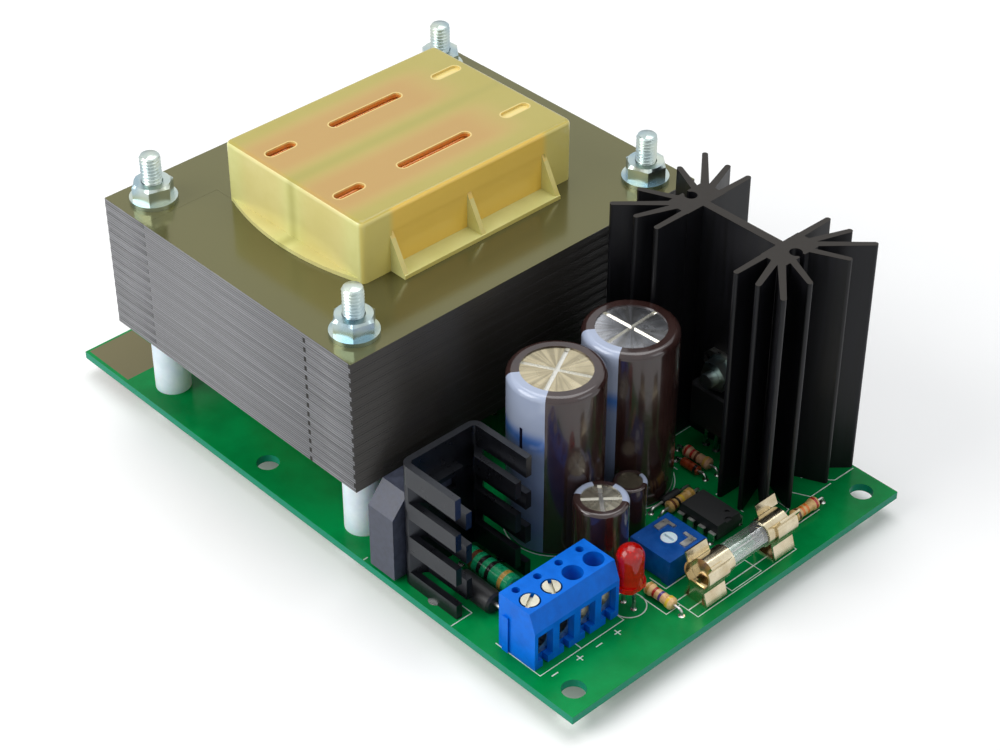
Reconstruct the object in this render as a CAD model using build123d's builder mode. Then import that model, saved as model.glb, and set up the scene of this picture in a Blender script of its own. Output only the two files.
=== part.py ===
from build123d import *
import os

os.makedirs("parts", exist_ok=True)

# An open-frame power supply on one circuit board, in millimetres. +X points to the
# end with the terminals and the fuse, +Z is up. The origin is at the middle of the
# board's outline, at the undersides of the four transformer bolt heads, on which
# the whole thing stands.

# Shared fits
press_gap = 0.05         # between a pressed or sliding pair, each side
lead_gap = 0.15          # round a lead in its board hole
lead_below = 1.6         # lead end under the board

# Levels of the transformer stack, from the ground up
bolt_head_high = 2.8
washer_thick = 0.8
board_thick = 1.6
spacer_high = 15.0
core_high = 28.0

# Circuit board
board_length = 138.0
mount_hole_dia = 4.4
mount_spacing_x = 81.4
mount_spacing_y = 74.4
mount_centre_x = 23.7

# Transformer core of E and I sheets
core_length = 70.0
core_width = 84.0
core_front_x = 15.0      # the end that faces the other parts
core_limb = 14.0         # half the width of the centre limb
window_long = 37.6
window_edge = 25.2       # from the middle of the core to a window's outer side
joint_in = 12.0          # from the core's end to the joint in an outer limb
pack_count = 8           # the sheets are interleaved in packs
varnish_film = 0.04
bolt_inset = 6.5

# Transformer bolts
bolt_dia = 4.0
bolt_length = 55.0
bolt_flats = 7.0
bolt_hole_dia = 4.5
bolt_end_chamfer = 0.6
nut_high = 3.2
washer_dia = 9.0
spacer_dia = 7.0

# Coil former and windings, round the centre limb
former_gap = 0.3
former_wall = 1.2
former_end_gap = 0.3
flange_reach = 17.6      # from the middle of the coil to a flange's outer face
flange_half_y = 24.3
flange_half_z = 25.5
winding_half_y = 24.0
winding_half_z = 25.0

# Coil covers
cover_length = 38.0
cover_width = 51.0
cover_high = 12.7
cover_wall = 1.0
cover_edge = 1.2
slot_offset = 9.5
slot_width = 2.0
long_slot = 17.0
short_slot = 6.5
short_slot_y = 20.0
blind_depth = 0.5
lip_out = 2.9
lip_thick = 0.8
ledge_out = 3.8
ledge_half = 19.0
gusset_high = 7.5
gusset_thick = 1.0
panel_depth = 0.3

# Coil pins
coil_pin_width = 0.8
coil_pin_count = 4
coil_pin_pitch = 7.5
coil_pin_in = 1.8        # from a ledge's outer edge

# Tall extruded heatsink
tall_x = 37.9
tall_past = 0.15         # how far the fins reach past the side of capacitor 2
tall_high = 50.0
web_half = 0.9
web_reach = 8.6          # from the middle of the web to the hub
hub_reach = 13.9
hub_half = 4.9
fin_tip_width = 1.1
fin_root_width = 1.5
fin_reach_x = 20.5
fin_reach_y = 12.45
straight_fin_x = 9.4
lean_fin_root_x = 11.3
lean_fin_tip_x = 14.6
corner_fin_root = 2.6
side_fin_root_y = 1.3
side_fin_tip_y = 5.4
groove_x = 12.4
groove_radius = 1.2
groove_mouth = 1.2
tall_pin_up = 8.0

# Power transistor on the tall heatsink
transistor_width = 10.0
transistor_depth = 4.5
transistor_high = 9.1
transistor_up = 5.8
tab_thick = 1.3
tab_top = 21.3
transistor_screw_up = 18.5
transistor_screw_dia = 3.0
transistor_screw_long = 8.0
transistor_screw_head = 5.5
transistor_screw_head_high = 2.0
transistor_washer_dia = 7.0
transistor_washer_thick = 0.5
transistor_nut_flats = 5.5
transistor_nut_high = 2.4
transistor_lead_pitch = 2.54
transistor_lead_width = 0.8
transistor_lead_thick = 0.5

# Bridge rectifier, upright on its four leads
bridge_x0 = 18.0
bridge_thick = 6.4
bridge_y0 = -41.9
bridge_long = 21.5
bridge_high = 17.8
bridge_up = 0.6
bridge_chamfer_y = 3.5
bridge_chamfer_z = 4.1
bridge_lead_dia = 1.2
bridge_lead_pitch = 5.08

# Small folded heatsink, open towards +X
fold_gap = 0.1           # thermal paste between it and the bridge rectifier
fold_centre_y = -31.4
fold_width = 17.6
fold_reach = 14.2
fold_high = 26.8
fold_sheet = 1.3
fold_bend = 2.0
band_levels = (3.1, 7.6, 11.4, 15.4, 19.0, 22.5)
band_inset = 2.4
band_start = 2.2
band_slope = 2.2
fold_tab_up = 20.0
fold_tab_width = 6.4
fold_tab_out = 1.9
fold_tab_thick = 1.0
fold_window_high = 5.0
fold_foot_width = 2.0
fold_foot_x = 8.0

# Electrolytic capacitors
smoothing_dia = 17.8
smoothing_high = 35.0
smoothing_pitch = 7.5
smoothing_lead = 0.8
capacitor_1_at = (31.8, -10.1)
capacitor_2_at = (32.0, 8.1)
capacitor_3_at = (45.8, -12.6)
capacitor_3_dia = 10.0
capacitor_3_high = 16.0
capacitor_3_pitch = 5.0
capacitor_3_lead = 0.6
capacitor_4_at = (41.9, -1.2)
capacitor_4_dia = 6.3
capacitor_4_high = 11.0
capacitor_4_pitch = 2.5
capacitor_4_lead = 0.5
sleeve_thick = 0.25
can_up = 0.3
rim_share = 0.27         # how far a sleeve's rolled rim covers the can's top
vent_width = 0.8         # the cross pressed into a can's top
vent_deep = 0.35
capacitor_1_vent = 28    # how far each cross is turned, in degrees
capacitor_2_vent = 3
capacitor_3_vent = 50
capacitor_4_vent = None  # a small can has a plain top

# Screw terminals: two 2-way housings end to end
terminal_x0 = 48.1
terminal_depth = 8.8
terminal_top_depth = 7.4
terminal_high = 12.0
terminal_slant_up = 8.3
terminal_pitch = 5.0
terminal_seam_y = -29.05
terminal_ways = 2
screw_bore_dia = 3.8
screw_bore_x = 53.0
probe_hole_dia = 1.5
probe_hole_x = 49.6
probe_hole_deep = 5.0
wire_mouth_width = 3.5
wire_mouth_up = 1.5
wire_mouth_top = 7.2
lip_slit = 1.2
rib_wide = 1.5
rib_out = 0.4
rib_high = 7.9
rib_x = 49.95

# Clamps and screws in the terminals
clamp_depth = 5.0
clamp_width = 3.4
clamp_up = 1.6
clamp_high = 5.6
clamp_wire_dia = 3.0
clamp_wire_up = 4.6
clamp_pin_width = 1.0
clamp_pin_thick = 0.8
clamp_screw_dia = 2.6
clamp_screw_head = 3.2
clamp_screw_head_high = 1.4
clamp_screw_slot = 0.7
clamp_screw_slot_deep = 0.8
clamp_screw_tip_up = 6.6
clamp_screw_travel = 3.3
clamp_screw_clear = 0.2  # under the tip when it is all the way down
screw_down = (False, False, True, True)

# Indicator lamp
lamp_x = 56.35
lamp_y = -15.95
lamp_dia = 5.0
lamp_flange_dia = 5.8
lamp_flange_high = 1.0
lamp_up = 5.0
lamp_high = 8.8
lamp_lead = 0.5
lamp_lead_pitch = 2.54

# Trimmer
trimmer_x = 53.05
trimmer_y = -2.6
trimmer_side = 9.6
trimmer_high = 5.0
trimmer_up = 0.5
trimmer_foot = 1.8
rotor_dia = 3.0
rotor_deep = 3.0
rotor_slot_width = 0.5
rotor_slot_long = 2.3
rotor_slot_deep = 0.6
contact_thick = 0.25
contact_width = 1.3
contact_inner = 2.5
contact_long = 3.1
contact_bar = 0.7
contact_bar_end = 1.1
trimmer_pin_width = 0.6
trimmer_pin_pitch = 2.54

# Control chip
chip_x = 51.3
chip_y = 10.2
chip_long = 9.6
chip_wide = 6.4
chip_high = 3.3
chip_up = 0.5
chip_draft = 0.35
chip_notch_radius = 0.8
chip_notch_deep = 0.4
chip_dimple_dia = 1.0
chip_dimple_x = 2.8
chip_dimple_y = 1.4
chip_pin_pitch = 2.54
chip_row_spacing = 7.62
chip_pin_wide = 1.4
chip_pin_narrow = 0.5
chip_pin_thick = 0.25

# Fuse and its clips
fuse_x = 63.7
fuse_y = 4.7
fuse_up = 6.0
fuse_long = 20.0
fuse_dia = 5.2
fuse_cap_long = 5.5
fuse_cap_wall = 0.25
fuse_glass_wall = 0.5
fuse_wire_dia = 0.3
clip_sheet = 0.4
clip_width = 5.2
clip_overhang = 1.5      # past the end of the fuse
clip_base_half = 2.3
clip_neck_half = 1.5
clip_neck_up = 2.9
clip_throat_half = 2.0
clip_lip_half = 2.9
clip_lip_up = 9.6
clip_stop_high = 4.2
clip_leg_width = 1.2

# Small lying parts
small_body_dia = 2.4
small_waist_dia = 2.0
small_body_long = 6.5
small_bulb_long = 1.3
small_bevel = 0.4
small_lead_dia = 0.55
small_pitch = 10.16
lead_bend = 0.7
resistor_1_at = (44.2, 10.0)
resistor_2_at = (37.9, 21.4)
resistor_3_at = (59.4, -11.15)
resistor_4_at = (61.4, 24.6)
power_resistor_at = (36.25, -29.75)
power_resistor_dia = 4.0
power_resistor_long = 11.5
power_resistor_pitch = 15.24
power_resistor_up = 3.4
power_diode_at = (37.6, -34.2)
power_diode_dia = 4.3
power_diode_long = 9.0
power_diode_pitch = 12.7
power_lead_dia = 0.8
small_diode_at = (42.1, 9.6)
small_diode_dia = 1.8
small_diode_long = 4.2
glass_diode_at = (38.6, 18.8)
glass_diode_pitch = 7.62

# Levels worked out from the sizes above
board_bottom = bolt_head_high + washer_thick
board_top = board_bottom + board_thick
core_bottom = board_top + spacer_high
core_top = core_bottom + core_high
core_middle = core_bottom + core_high / 2
lead_end = board_bottom - lead_below
lead_drop = board_top - lead_end

board_width = core_width
core_centre_x = core_front_x - core_length / 2
tall_y = capacitor_2_at[1] + smoothing_dia / 2 - tall_past + fin_reach_y
bolt_x = core_length / 2 - bolt_inset
bolt_y = core_width / 2 - bolt_inset
bolt_places = [(core_centre_x + i * bolt_x, j * bolt_y) for i in (-1, 1) for j in (-1, 1)]

# Round board holes, gathered as the leads are placed: radius to list of centres
board_holes = {}


def need_holes(places, lead_width):
    """Asks the board for a hole round each lead of this width."""
    radius = round(lead_width / 2 + lead_gap, 3)
    board_holes.setdefault(radius, []).extend(places)


def spread(count, pitch):
    """Evenly spaced offsets, centred on zero."""
    return [(i - (count - 1) / 2) * pitch for i in range(count)]


# Transformer core. An E sheet and an I sheet fill each layer, and each layer is
# turned end for end on the one below it, so that the joints are bridged. The I has
# a land in its middle that closes the windows nearer to the coil.
pack_thick = core_high / pack_count
e_length = core_length - joint_in
window_wide = window_edge - core_limb
window_middle = (window_edge + core_limb) / 2
land_out = (core_length - window_long) / 2 - joint_in
land_x = window_long / 2 + land_out / 2

with BuildPart() as e_sheets:
    for layer in range(pack_count):
        turn = 1 if layer % 2 == 0 else -1
        with BuildSketch(Plane.XY.offset(core_bottom + layer * pack_thick)):
            with Locations((core_centre_x - turn * joint_in / 2, 0)):
                Rectangle(e_length, core_width)
            with Locations(*[(core_centre_x, i * window_middle) for i in (-1, 1)]):
                Rectangle(window_long, window_wide, mode=Mode.SUBTRACT)
            with Locations((core_centre_x + turn * land_x, 0)):
                Rectangle(land_out, 2 * window_edge, mode=Mode.SUBTRACT)
            with Locations(*[(core_centre_x - turn * bolt_x, i * bolt_y) for i in (-1, 1)]):
                Circle(bolt_hole_dia / 2, mode=Mode.SUBTRACT)
        extrude(amount=pack_thick - varnish_film)
e_sheets.part.label = "core_e_laminations"
export_step(e_sheets.part, "parts/core_e_laminations.step")

with BuildPart() as i_sheets:
    for layer in range(pack_count):
        turn = 1 if layer % 2 == 0 else -1
        with BuildSketch(Plane.XY.offset(core_bottom + layer * pack_thick)):
            with Locations((core_centre_x + turn * e_length / 2, 0)):
                Rectangle(joint_in, core_width)
            with Locations((core_centre_x + turn * land_x, 0)):
                Rectangle(land_out, 2 * window_edge)
            with Locations(*[(core_centre_x + turn * bolt_x, i * bolt_y) for i in (-1, 1)]):
                Circle(bolt_hole_dia / 2, mode=Mode.SUBTRACT)
        extrude(amount=pack_thick - varnish_film)
i_sheets.part.label = "core_i_laminations"
export_step(i_sheets.part, "parts/core_i_laminations.step")

# Coil former: a square tube on the centre limb with two end flanges and a divider,
# and a lug at each corner that keeps it in the middle of the core's windows
tube_half = core_limb + former_gap + former_wall
bore_half = core_limb + former_gap
former_half = window_long / 2 - former_end_gap
flange_spots = (-flange_reach, -former_wall / 2, flange_reach - former_wall)

with BuildPart() as former:
    with BuildSketch(Plane.YZ.offset(core_centre_x - former_half)):
        with Locations(*[(side * (bore_half + former_wall / 2), core_middle) for side in (-1, 1)]):
            Rectangle(former_wall, core_high - 2 * former_gap)
    extrude(amount=2 * former_half)
    with BuildSketch(Plane.YZ.offset(core_centre_x - flange_reach)):
        with Locations((0, core_middle)):
            Rectangle(2 * tube_half, 2 * tube_half)
            Rectangle(2 * bore_half, 2 * bore_half, mode=Mode.SUBTRACT)
    extrude(amount=2 * flange_reach)
    for spot in flange_spots:
        with BuildSketch(Plane.YZ.offset(core_centre_x + spot)):
            with Locations((0, core_middle)):
                Rectangle(2 * flange_half_y, 2 * flange_half_z)
                Rectangle(2 * bore_half, 2 * bore_half, mode=Mode.SUBTRACT)
        extrude(amount=former_wall)
former.part.label = "coil_former"
export_step(former.part, "parts/coil_former.step")

chamber_long = flange_reach - 1.5 * former_wall - 2 * press_gap


def winding(start_x):
    """A block of wire that fills one chamber of the former."""
    with BuildPart() as coil:
        with BuildSketch(Plane.YZ.offset(start_x)):
            with Locations((0, core_middle)):
                RectangleRounded(2 * winding_half_y, 2 * winding_half_z, former_wall * 2)
                hole_half = tube_half + press_gap
                Rectangle(2 * hole_half, 2 * hole_half, mode=Mode.SUBTRACT)
        extrude(amount=chamber_long)
    return coil


primary = winding(core_centre_x - flange_reach + former_wall + press_gap)
primary.part.label = "primary_winding"
export_step(primary.part, "parts/primary_winding.step")

secondary = winding(core_centre_x + former_wall / 2 + press_gap)
secondary.part.label = "secondary_winding"
export_step(secondary.part, "parts/secondary_winding.step")

# Coil covers: thin caps over the windings, above and below the core
slot_rows = [core_centre_x + i * slot_offset for i in (-1, 1)]
cover_half = cover_length / 2
side_half = cover_width / 2

with BuildPart() as upper_cover:
    with BuildSketch(Plane.XY.offset(core_top)):
        with Locations((core_centre_x, 0)):
            RectangleRounded(cover_length, cover_width, cover_edge)
    extrude(amount=cover_high)
    fillet(upper_cover.faces().sort_by(Axis.Z)[-1].edges(), cover_edge * 0.8)
    with BuildSketch(Plane.XY.offset(core_top)):
        with Locations((core_centre_x, 0)):
            Rectangle(cover_length - 2 * cover_wall, cover_width - 2 * cover_wall)
    extrude(amount=cover_high - cover_wall, mode=Mode.SUBTRACT)
    # through slots for the wire ends, and their blind twins on the far side
    with BuildSketch(Plane.XY.offset(core_top + cover_high)):
        with Locations(*[(x, 0) for x in slot_rows]):
            SlotOverall(long_slot, slot_width, rotation=90)
        with Locations(*[(x, -short_slot_y) for x in slot_rows]):
            SlotOverall(short_slot, slot_width, rotation=90)
    extrude(amount=-cover_wall, mode=Mode.SUBTRACT)
    with BuildSketch(Plane.XY.offset(core_top + cover_high)):
        with Locations(*[(x, short_slot_y) for x in slot_rows]):
            SlotOverall(short_slot, slot_width, rotation=90)
    extrude(amount=-blind_depth, mode=Mode.SUBTRACT)
    # shallow panels in the end walls, between the outer gussets
    for end in (-1, 1):
        with BuildSketch(Plane.YZ.offset(core_centre_x + end * (cover_half - panel_depth))):
            with Locations((0, core_top + lip_thick + gusset_high / 2)):
                Rectangle(2 * ledge_half - gusset_thick, gusset_high)
        extrude(amount=end * panel_depth, mode=Mode.SUBTRACT)
    # bowed lips on the outer limbs, straight ledges on the yokes
    with BuildSketch(Plane.XY.offset(core_top)):
        for side in (-1, 1):
            with BuildLine():
                near = side * (side_half - cover_wall)
                corner_y = side * side_half
                left = (core_centre_x - cover_half + cover_edge, corner_y)
                right = (core_centre_x + cover_half - cover_edge, corner_y)
                ThreePointArc(left, (core_centre_x, corner_y + side * lip_out), right)
                Line(right, (right[0], near))
                Line((right[0], near), (left[0], near))
                Line((left[0], near), left)
            make_face()
        for end in (-1, 1):
            with Locations((core_centre_x + end * (cover_half + (ledge_out - cover_wall) / 2), 0)):
                Rectangle(ledge_out + cover_wall, 2 * ledge_half)
    extrude(amount=lip_thick)
    for end in (-1, 1):
        for y in (-ledge_half + gusset_thick / 2, 0, ledge_half - gusset_thick / 2):
            with BuildSketch(Plane.XZ.offset(-y - gusset_thick / 2)):
                with BuildLine():
                    inner = core_centre_x + end * (cover_half - cover_wall / 2)
                    outer = core_centre_x + end * (cover_half + ledge_out)
                    low = core_top + lip_thick / 2
                    high = core_top + lip_thick + gusset_high
                    Polyline((inner, low), (outer, low), (inner, high), close=True)
                make_face()
            extrude(amount=gusset_thick)
upper_cover.part.label = "upper_coil_cover"
export_step(upper_cover.part, "parts/upper_coil_cover.step")

with BuildPart() as lower_cover:
    mirror(upper_cover.part, about=Plane.XY.offset(core_middle))
lower_cover.part.label = "lower_coil_cover"
export_step(lower_cover.part, "parts/lower_coil_cover.step")

# Coil pins, from the lower cover's ledges down through the board
coil_pin_x = cover_half + ledge_out - coil_pin_in
coil_pin_places = [
    (core_centre_x + end * coil_pin_x, y)
    for end in (-1, 1)
    for y in spread(coil_pin_count, coil_pin_pitch)
]
need_holes(coil_pin_places, coil_pin_width * 2**0.5)
with BuildPart() as coil_pins:
    with BuildSketch(Plane.XY.offset(lead_end)):
        with Locations(*coil_pin_places):
            Rectangle(coil_pin_width, coil_pin_width)
    extrude(amount=core_bottom - lip_thick - lead_end)
coil_pins.part.label = "coil_pins"
export_step(coil_pins.part, "parts/coil_pins.step")

# Long bolts with their heads under the board, with washers, spacers and nuts
with BuildPart() as bolts:
    with BuildSketch():
        with Locations(*bolt_places):
            RegularPolygon(bolt_flats / 2, 6, major_radius=False)
    extrude(amount=bolt_head_high)
    with BuildSketch(Plane.XY.offset(bolt_head_high)):
        with Locations(*bolt_places):
            Circle(bolt_dia / 2)
    extrude(amount=bolt_length)
    chamfer(bolts.edges().group_by(Axis.Z)[-1], bolt_end_chamfer)
bolts.part.label = "transformer_bolts"
export_step(bolts.part, "parts/transformer_bolts.step")

with BuildPart() as washers:
    for level in (bolt_head_high, core_top):
        with BuildSketch(Plane.XY.offset(level)):
            with Locations(*bolt_places):
                Circle(washer_dia / 2)
                Circle(bolt_hole_dia / 2, mode=Mode.SUBTRACT)
        extrude(amount=washer_thick)
washers.part.label = "transformer_washers"
export_step(washers.part, "parts/transformer_washers.step")

with BuildPart() as nuts:
    with BuildSketch(Plane.XY.offset(core_top + washer_thick)):
        with Locations(*bolt_places):
            RegularPolygon(bolt_flats / 2, 6, major_radius=False)
            Circle(bolt_dia / 2 + press_gap, mode=Mode.SUBTRACT)
    extrude(amount=nut_high)
nuts.part.label = "transformer_nuts"
export_step(nuts.part, "parts/transformer_nuts.step")

with BuildPart() as spacers:
    with BuildSketch(Plane.XY.offset(board_top)):
        with Locations(*bolt_places):
            Circle(spacer_dia / 2)
            Circle(bolt_hole_dia / 2, mode=Mode.SUBTRACT)
    extrude(amount=spacer_high)
spacers.part.label = "transformer_spacers"
export_step(spacers.part, "parts/transformer_spacers.step")

# Tall heatsink: a web between two hubs, each hub with eight fins and a screw groove


def fin(root, tip):
    """One straight fin in the sketch, tapering from its root to a round tip."""
    along = (Vector(*tip) - Vector(*root)).normalized()
    across = Vector(-along.Y, along.X)
    end = Vector(*tip) - along * fin_tip_width / 2
    start = Vector(*root)
    with BuildLine() as outline:
        Polyline(
            start + across * fin_root_width / 2,
            end + across * fin_tip_width / 2,
            end - across * fin_tip_width / 2,
            start - across * fin_root_width / 2,
            close=True,
        )
    make_face(outline.edges())
    with Locations(end):
        Circle(fin_tip_width / 2)


with BuildPart() as tall_heatsink:
    with BuildSketch(Plane((tall_x, tall_y, board_top))):
        with Locations((hub_reach / 2, 0)):
            Rectangle(hub_reach, 2 * web_half)
        with BuildLine():
            Polyline(
                (web_reach, 0),
                (web_reach, hub_half),
                (straight_fin_x + fin_root_width, hub_half),
                (hub_reach - fin_root_width, hub_half + fin_root_width / 2),
                (hub_reach, hub_half - fin_root_width / 2),
                (hub_reach, 0),
                close=True,
            )
        make_face()
        fin((straight_fin_x, 0), (straight_fin_x, fin_reach_y))
        fin((lean_fin_root_x, hub_half - fin_root_width), (lean_fin_tip_x, fin_reach_y))
        fin((hub_reach - corner_fin_root, corner_fin_root), (fin_reach_x, fin_reach_y))
        fin((hub_reach - corner_fin_root, side_fin_root_y), (fin_reach_x, side_fin_tip_y))
        mirror(about=Plane.XZ)
        mirror(about=Plane.YZ)
        with Locations((-groove_x, 0), (groove_x, 0)):
            Circle(groove_radius, mode=Mode.SUBTRACT)
        with Locations((-hub_reach, 0), (hub_reach, 0)):
            Rectangle(2 * (hub_reach - groove_x), groove_mouth, mode=Mode.SUBTRACT)
    extrude(amount=tall_high)
    with BuildSketch(Plane.XZ.offset(-tall_y - 2 * web_half)):
        with Locations((tall_x, board_top + transistor_screw_up)):
            Circle(transistor_screw_dia / 2 + lead_gap)
    extrude(amount=4 * web_half, mode=Mode.SUBTRACT)
tall_heatsink.part.label = "tall_heatsink"
export_step(tall_heatsink.part, "parts/tall_heatsink.step")

tall_pin_places = [(tall_x + i * groove_x, tall_y) for i in (-1, 1)]
tall_pin_radius = groove_radius - press_gap
need_holes(tall_pin_places, 2 * tall_pin_radius)
with BuildPart() as tall_pins:
    with BuildSketch(Plane.XY.offset(lead_end)):
        with Locations(*tall_pin_places):
            Circle(tall_pin_radius)
    extrude(amount=lead_drop + tall_pin_up)
tall_pins.part.label = "tall_heatsink_pins"
export_step(tall_pins.part, "parts/tall_heatsink_pins.step")

# Power transistor, screwed flat against the web
web_front = tall_y - web_half
web_back = tall_y + web_half
tab_front = web_front - tab_thick
transistor_front = web_front - transistor_depth
transistor_bottom = board_top + transistor_up
transistor_screw_z = board_top + transistor_screw_up

with BuildPart() as transistor_body:
    with BuildSketch(Plane.XY.offset(transistor_bottom)):
        with Locations((tall_x, (transistor_front + tab_front) / 2)):
            Rectangle(transistor_width, tab_front - transistor_front)
    extrude(amount=transistor_high)
    front = transistor_body.faces().sort_by(Axis.Y)[0]
    chamfer(front.edges(), (tab_front - transistor_front) / 8)
transistor_body.part.label = "power_transistor_body"
export_step(transistor_body.part, "parts/power_transistor_body.step")

with BuildPart() as transistor_tab:
    with BuildSketch(Plane.XZ.offset(-web_front)):
        with BuildLine():
            half = transistor_width / 2
            ear = transistor_width / 8
            low = transistor_bottom
            high = board_top + tab_top
            Polyline(
                (tall_x - half, low),
                (tall_x + half, low),
                (tall_x + half, high - ear),
                (tall_x + half - ear, high),
                (tall_x - half + ear, high),
                (tall_x - half, high - ear),
                close=True,
            )
        make_face()
        with Locations((tall_x, transistor_screw_z)):
            Circle(transistor_screw_dia / 2 + lead_gap, mode=Mode.SUBTRACT)
    extrude(amount=tab_thick)
transistor_tab.part.label = "power_transistor_tab"
export_step(transistor_tab.part, "parts/power_transistor_tab.step")

transistor_lead_y = tab_front - transistor_lead_thick
transistor_lead_places = [(tall_x + x, transistor_lead_y) for x in spread(3, transistor_lead_pitch)]
need_holes(transistor_lead_places, transistor_lead_width)
with BuildPart() as transistor_leads:
    with BuildSketch(Plane.XY.offset(lead_end)):
        with Locations(*transistor_lead_places):
            Rectangle(transistor_lead_width, transistor_lead_thick)
    extrude(amount=transistor_bottom - lead_end)
transistor_leads.part.label = "power_transistor_leads"
export_step(transistor_leads.part, "parts/power_transistor_leads.step")

# The screw goes in from behind the web, with washer and nut on the transistor
transistor_washer_y = tab_front - transistor_washer_thick
with BuildPart() as transistor_screw:
    with BuildSketch(Plane.XZ.offset(-web_back)):
        with Locations((tall_x, transistor_screw_z)):
            Circle(transistor_screw_head / 2)
    extrude(amount=-transistor_screw_head_high)
    with BuildSketch(Plane.XZ.offset(-web_back)):
        with Locations((tall_x, transistor_screw_z)):
            Circle(transistor_screw_dia / 2)
    extrude(amount=transistor_screw_long)
transistor_screw.part.label = "transistor_screw"
export_step(transistor_screw.part, "parts/transistor_screw.step")

with BuildPart() as transistor_washer:
    with BuildSketch(Plane.XZ.offset(-tab_front)):
        with Locations((tall_x, transistor_screw_z)):
            Circle(transistor_washer_dia / 2)
            Circle(transistor_screw_dia / 2 + lead_gap, mode=Mode.SUBTRACT)
    extrude(amount=transistor_washer_thick)
transistor_washer.part.label = "transistor_washer"
export_step(transistor_washer.part, "parts/transistor_washer.step")

with BuildPart() as transistor_nut:
    with BuildSketch(Plane.XZ.offset(-transistor_washer_y)):
        with Locations((tall_x, transistor_screw_z)):
            RegularPolygon(transistor_nut_flats / 2, 6, major_radius=False, rotation=15)
            Circle(transistor_screw_dia / 2 + press_gap, mode=Mode.SUBTRACT)
    extrude(amount=transistor_nut_high)
transistor_nut.part.label = "transistor_nut"
export_step(transistor_nut.part, "parts/transistor_nut.step")

# Bridge rectifier: a moulded block with one corner cut off, upright on four leads
with BuildPart() as bridge:
    with BuildSketch(Plane.YZ.offset(bridge_x0)):
        with BuildLine():
            low = board_top + bridge_up
            high = low + bridge_high
            bridge_y1 = bridge_y0 + bridge_long
            Polyline(
                (bridge_y0, low),
                (bridge_y1, low),
                (bridge_y1, high),
                (bridge_y0 + bridge_chamfer_y, high),
                (bridge_y0, high - bridge_chamfer_z),
                close=True,
            )
        make_face()
    extrude(amount=bridge_thick)
bridge.part.label = "bridge_rectifier"
export_step(bridge.part, "parts/bridge_rectifier.step")

bridge_middle_x = bridge_x0 + bridge_thick / 2
bridge_middle_y = bridge_y0 + bridge_long / 2
bridge_lead_places = [(bridge_middle_x, bridge_middle_y + y) for y in spread(4, bridge_lead_pitch)]
need_holes(bridge_lead_places, bridge_lead_dia)
with BuildPart() as bridge_leads:
    with BuildSketch(Plane.XY.offset(lead_end)):
        with Locations(*bridge_lead_places):
            Circle(bridge_lead_dia / 2)
    extrude(amount=lead_drop + bridge_up)
bridge_leads.part.label = "bridge_rectifier_leads"
export_step(bridge_leads.part, "parts/bridge_rectifier_leads.step")

# Small heatsink: one sheet folded to a U. Every second stretch of each arm is
# pushed inwards as a band, and a tab is folded in over the bridge rectifier.
fold_x0 = bridge_x0 + bridge_thick + fold_gap
fold_half = fold_width / 2
with BuildPart() as small_heatsink:
    with BuildSketch(Plane((fold_x0, fold_centre_y, board_top))):
        with BuildLine():
            FilletPolyline(
                (fold_reach, fold_half),
                (0, fold_half),
                (0, -fold_half),
                (fold_reach, -fold_half),
                radius=fold_bend,
            )
            offset(amount=fold_sheet, side=Side.LEFT)
        make_face()
    extrude(amount=fold_high)
    for low, high in zip(band_levels[::2], band_levels[1::2]):
        with BuildSketch(Plane((fold_x0, fold_centre_y, board_top + low))):
            with Locations((band_start + fold_reach / 2, 0)):
                Rectangle(fold_reach, fold_width)
        extrude(amount=high - low, mode=Mode.SUBTRACT)
        with BuildSketch(Plane((fold_x0, fold_centre_y, board_top + low))):
            for side in (-1, 1):
                outer = side * fold_half
                near = side * (fold_half - fold_sheet)
                bent = side * (fold_half - band_inset)
                bent_near = side * (fold_half - band_inset - fold_sheet)
                with BuildLine():
                    Polyline(
                        (band_start - fold_sheet / 2, outer),
                        (band_start, outer),
                        (band_start + band_slope, bent),
                        (fold_reach, bent),
                        (fold_reach, bent_near),
                        (band_start + band_slope - fold_sheet / 2, bent_near),
                        (band_start - fold_sheet / 2, near),
                        close=True,
                    )
                make_face()
        extrude(amount=high - low)
    # the tab leaves a window of its own size in the back
    with BuildSketch(Plane.YZ.offset(fold_x0)):
        with Locations((fold_centre_y, board_top + fold_tab_up - fold_window_high / 2)):
            Rectangle(fold_tab_width, fold_window_high)
    extrude(amount=fold_sheet, mode=Mode.SUBTRACT)
    with BuildSketch(Plane.XY.offset(board_top + fold_tab_up)):
        with Locations((fold_x0 + (fold_sheet + fold_tab_out) / 2, fold_centre_y)):
            Rectangle(fold_sheet + fold_tab_out, fold_tab_width)
    extrude(amount=fold_tab_thick)
    # one foot under each arm, through the board
    with BuildSketch(Plane.XY.offset(lead_end)):
        foot_y = fold_half - fold_sheet / 2
        with Locations(*[(fold_x0 + fold_foot_x, fold_centre_y + i * foot_y) for i in (-1, 1)]):
            Rectangle(fold_foot_width, fold_sheet)
    extrude(amount=lead_drop)
small_heatsink.part.label = "small_heatsink"
export_step(small_heatsink.part, "parts/small_heatsink.step")
fold_feet = [(fold_x0 + fold_foot_x, fold_centre_y + i * foot_y) for i in (-1, 1)]
need_holes(fold_feet, (fold_foot_width**2 + fold_sheet**2) ** 0.5)

# Electrolytic capacitors: a can in a shrunk sleeve, on two leads
smoothing = (smoothing_dia, smoothing_high, smoothing_pitch, smoothing_lead)
control = (capacitor_3_dia, capacitor_3_high, capacitor_3_pitch, capacitor_3_lead)
timing = (capacitor_4_dia, capacitor_4_high, capacitor_4_pitch, capacitor_4_lead)
capacitors = [
    (capacitor_1_at, capacitor_1_vent, *smoothing),
    (capacitor_2_at, capacitor_2_vent, *smoothing),
    (capacitor_3_at, capacitor_3_vent, *control),
    (capacitor_4_at, capacitor_4_vent, *timing),
]


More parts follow.
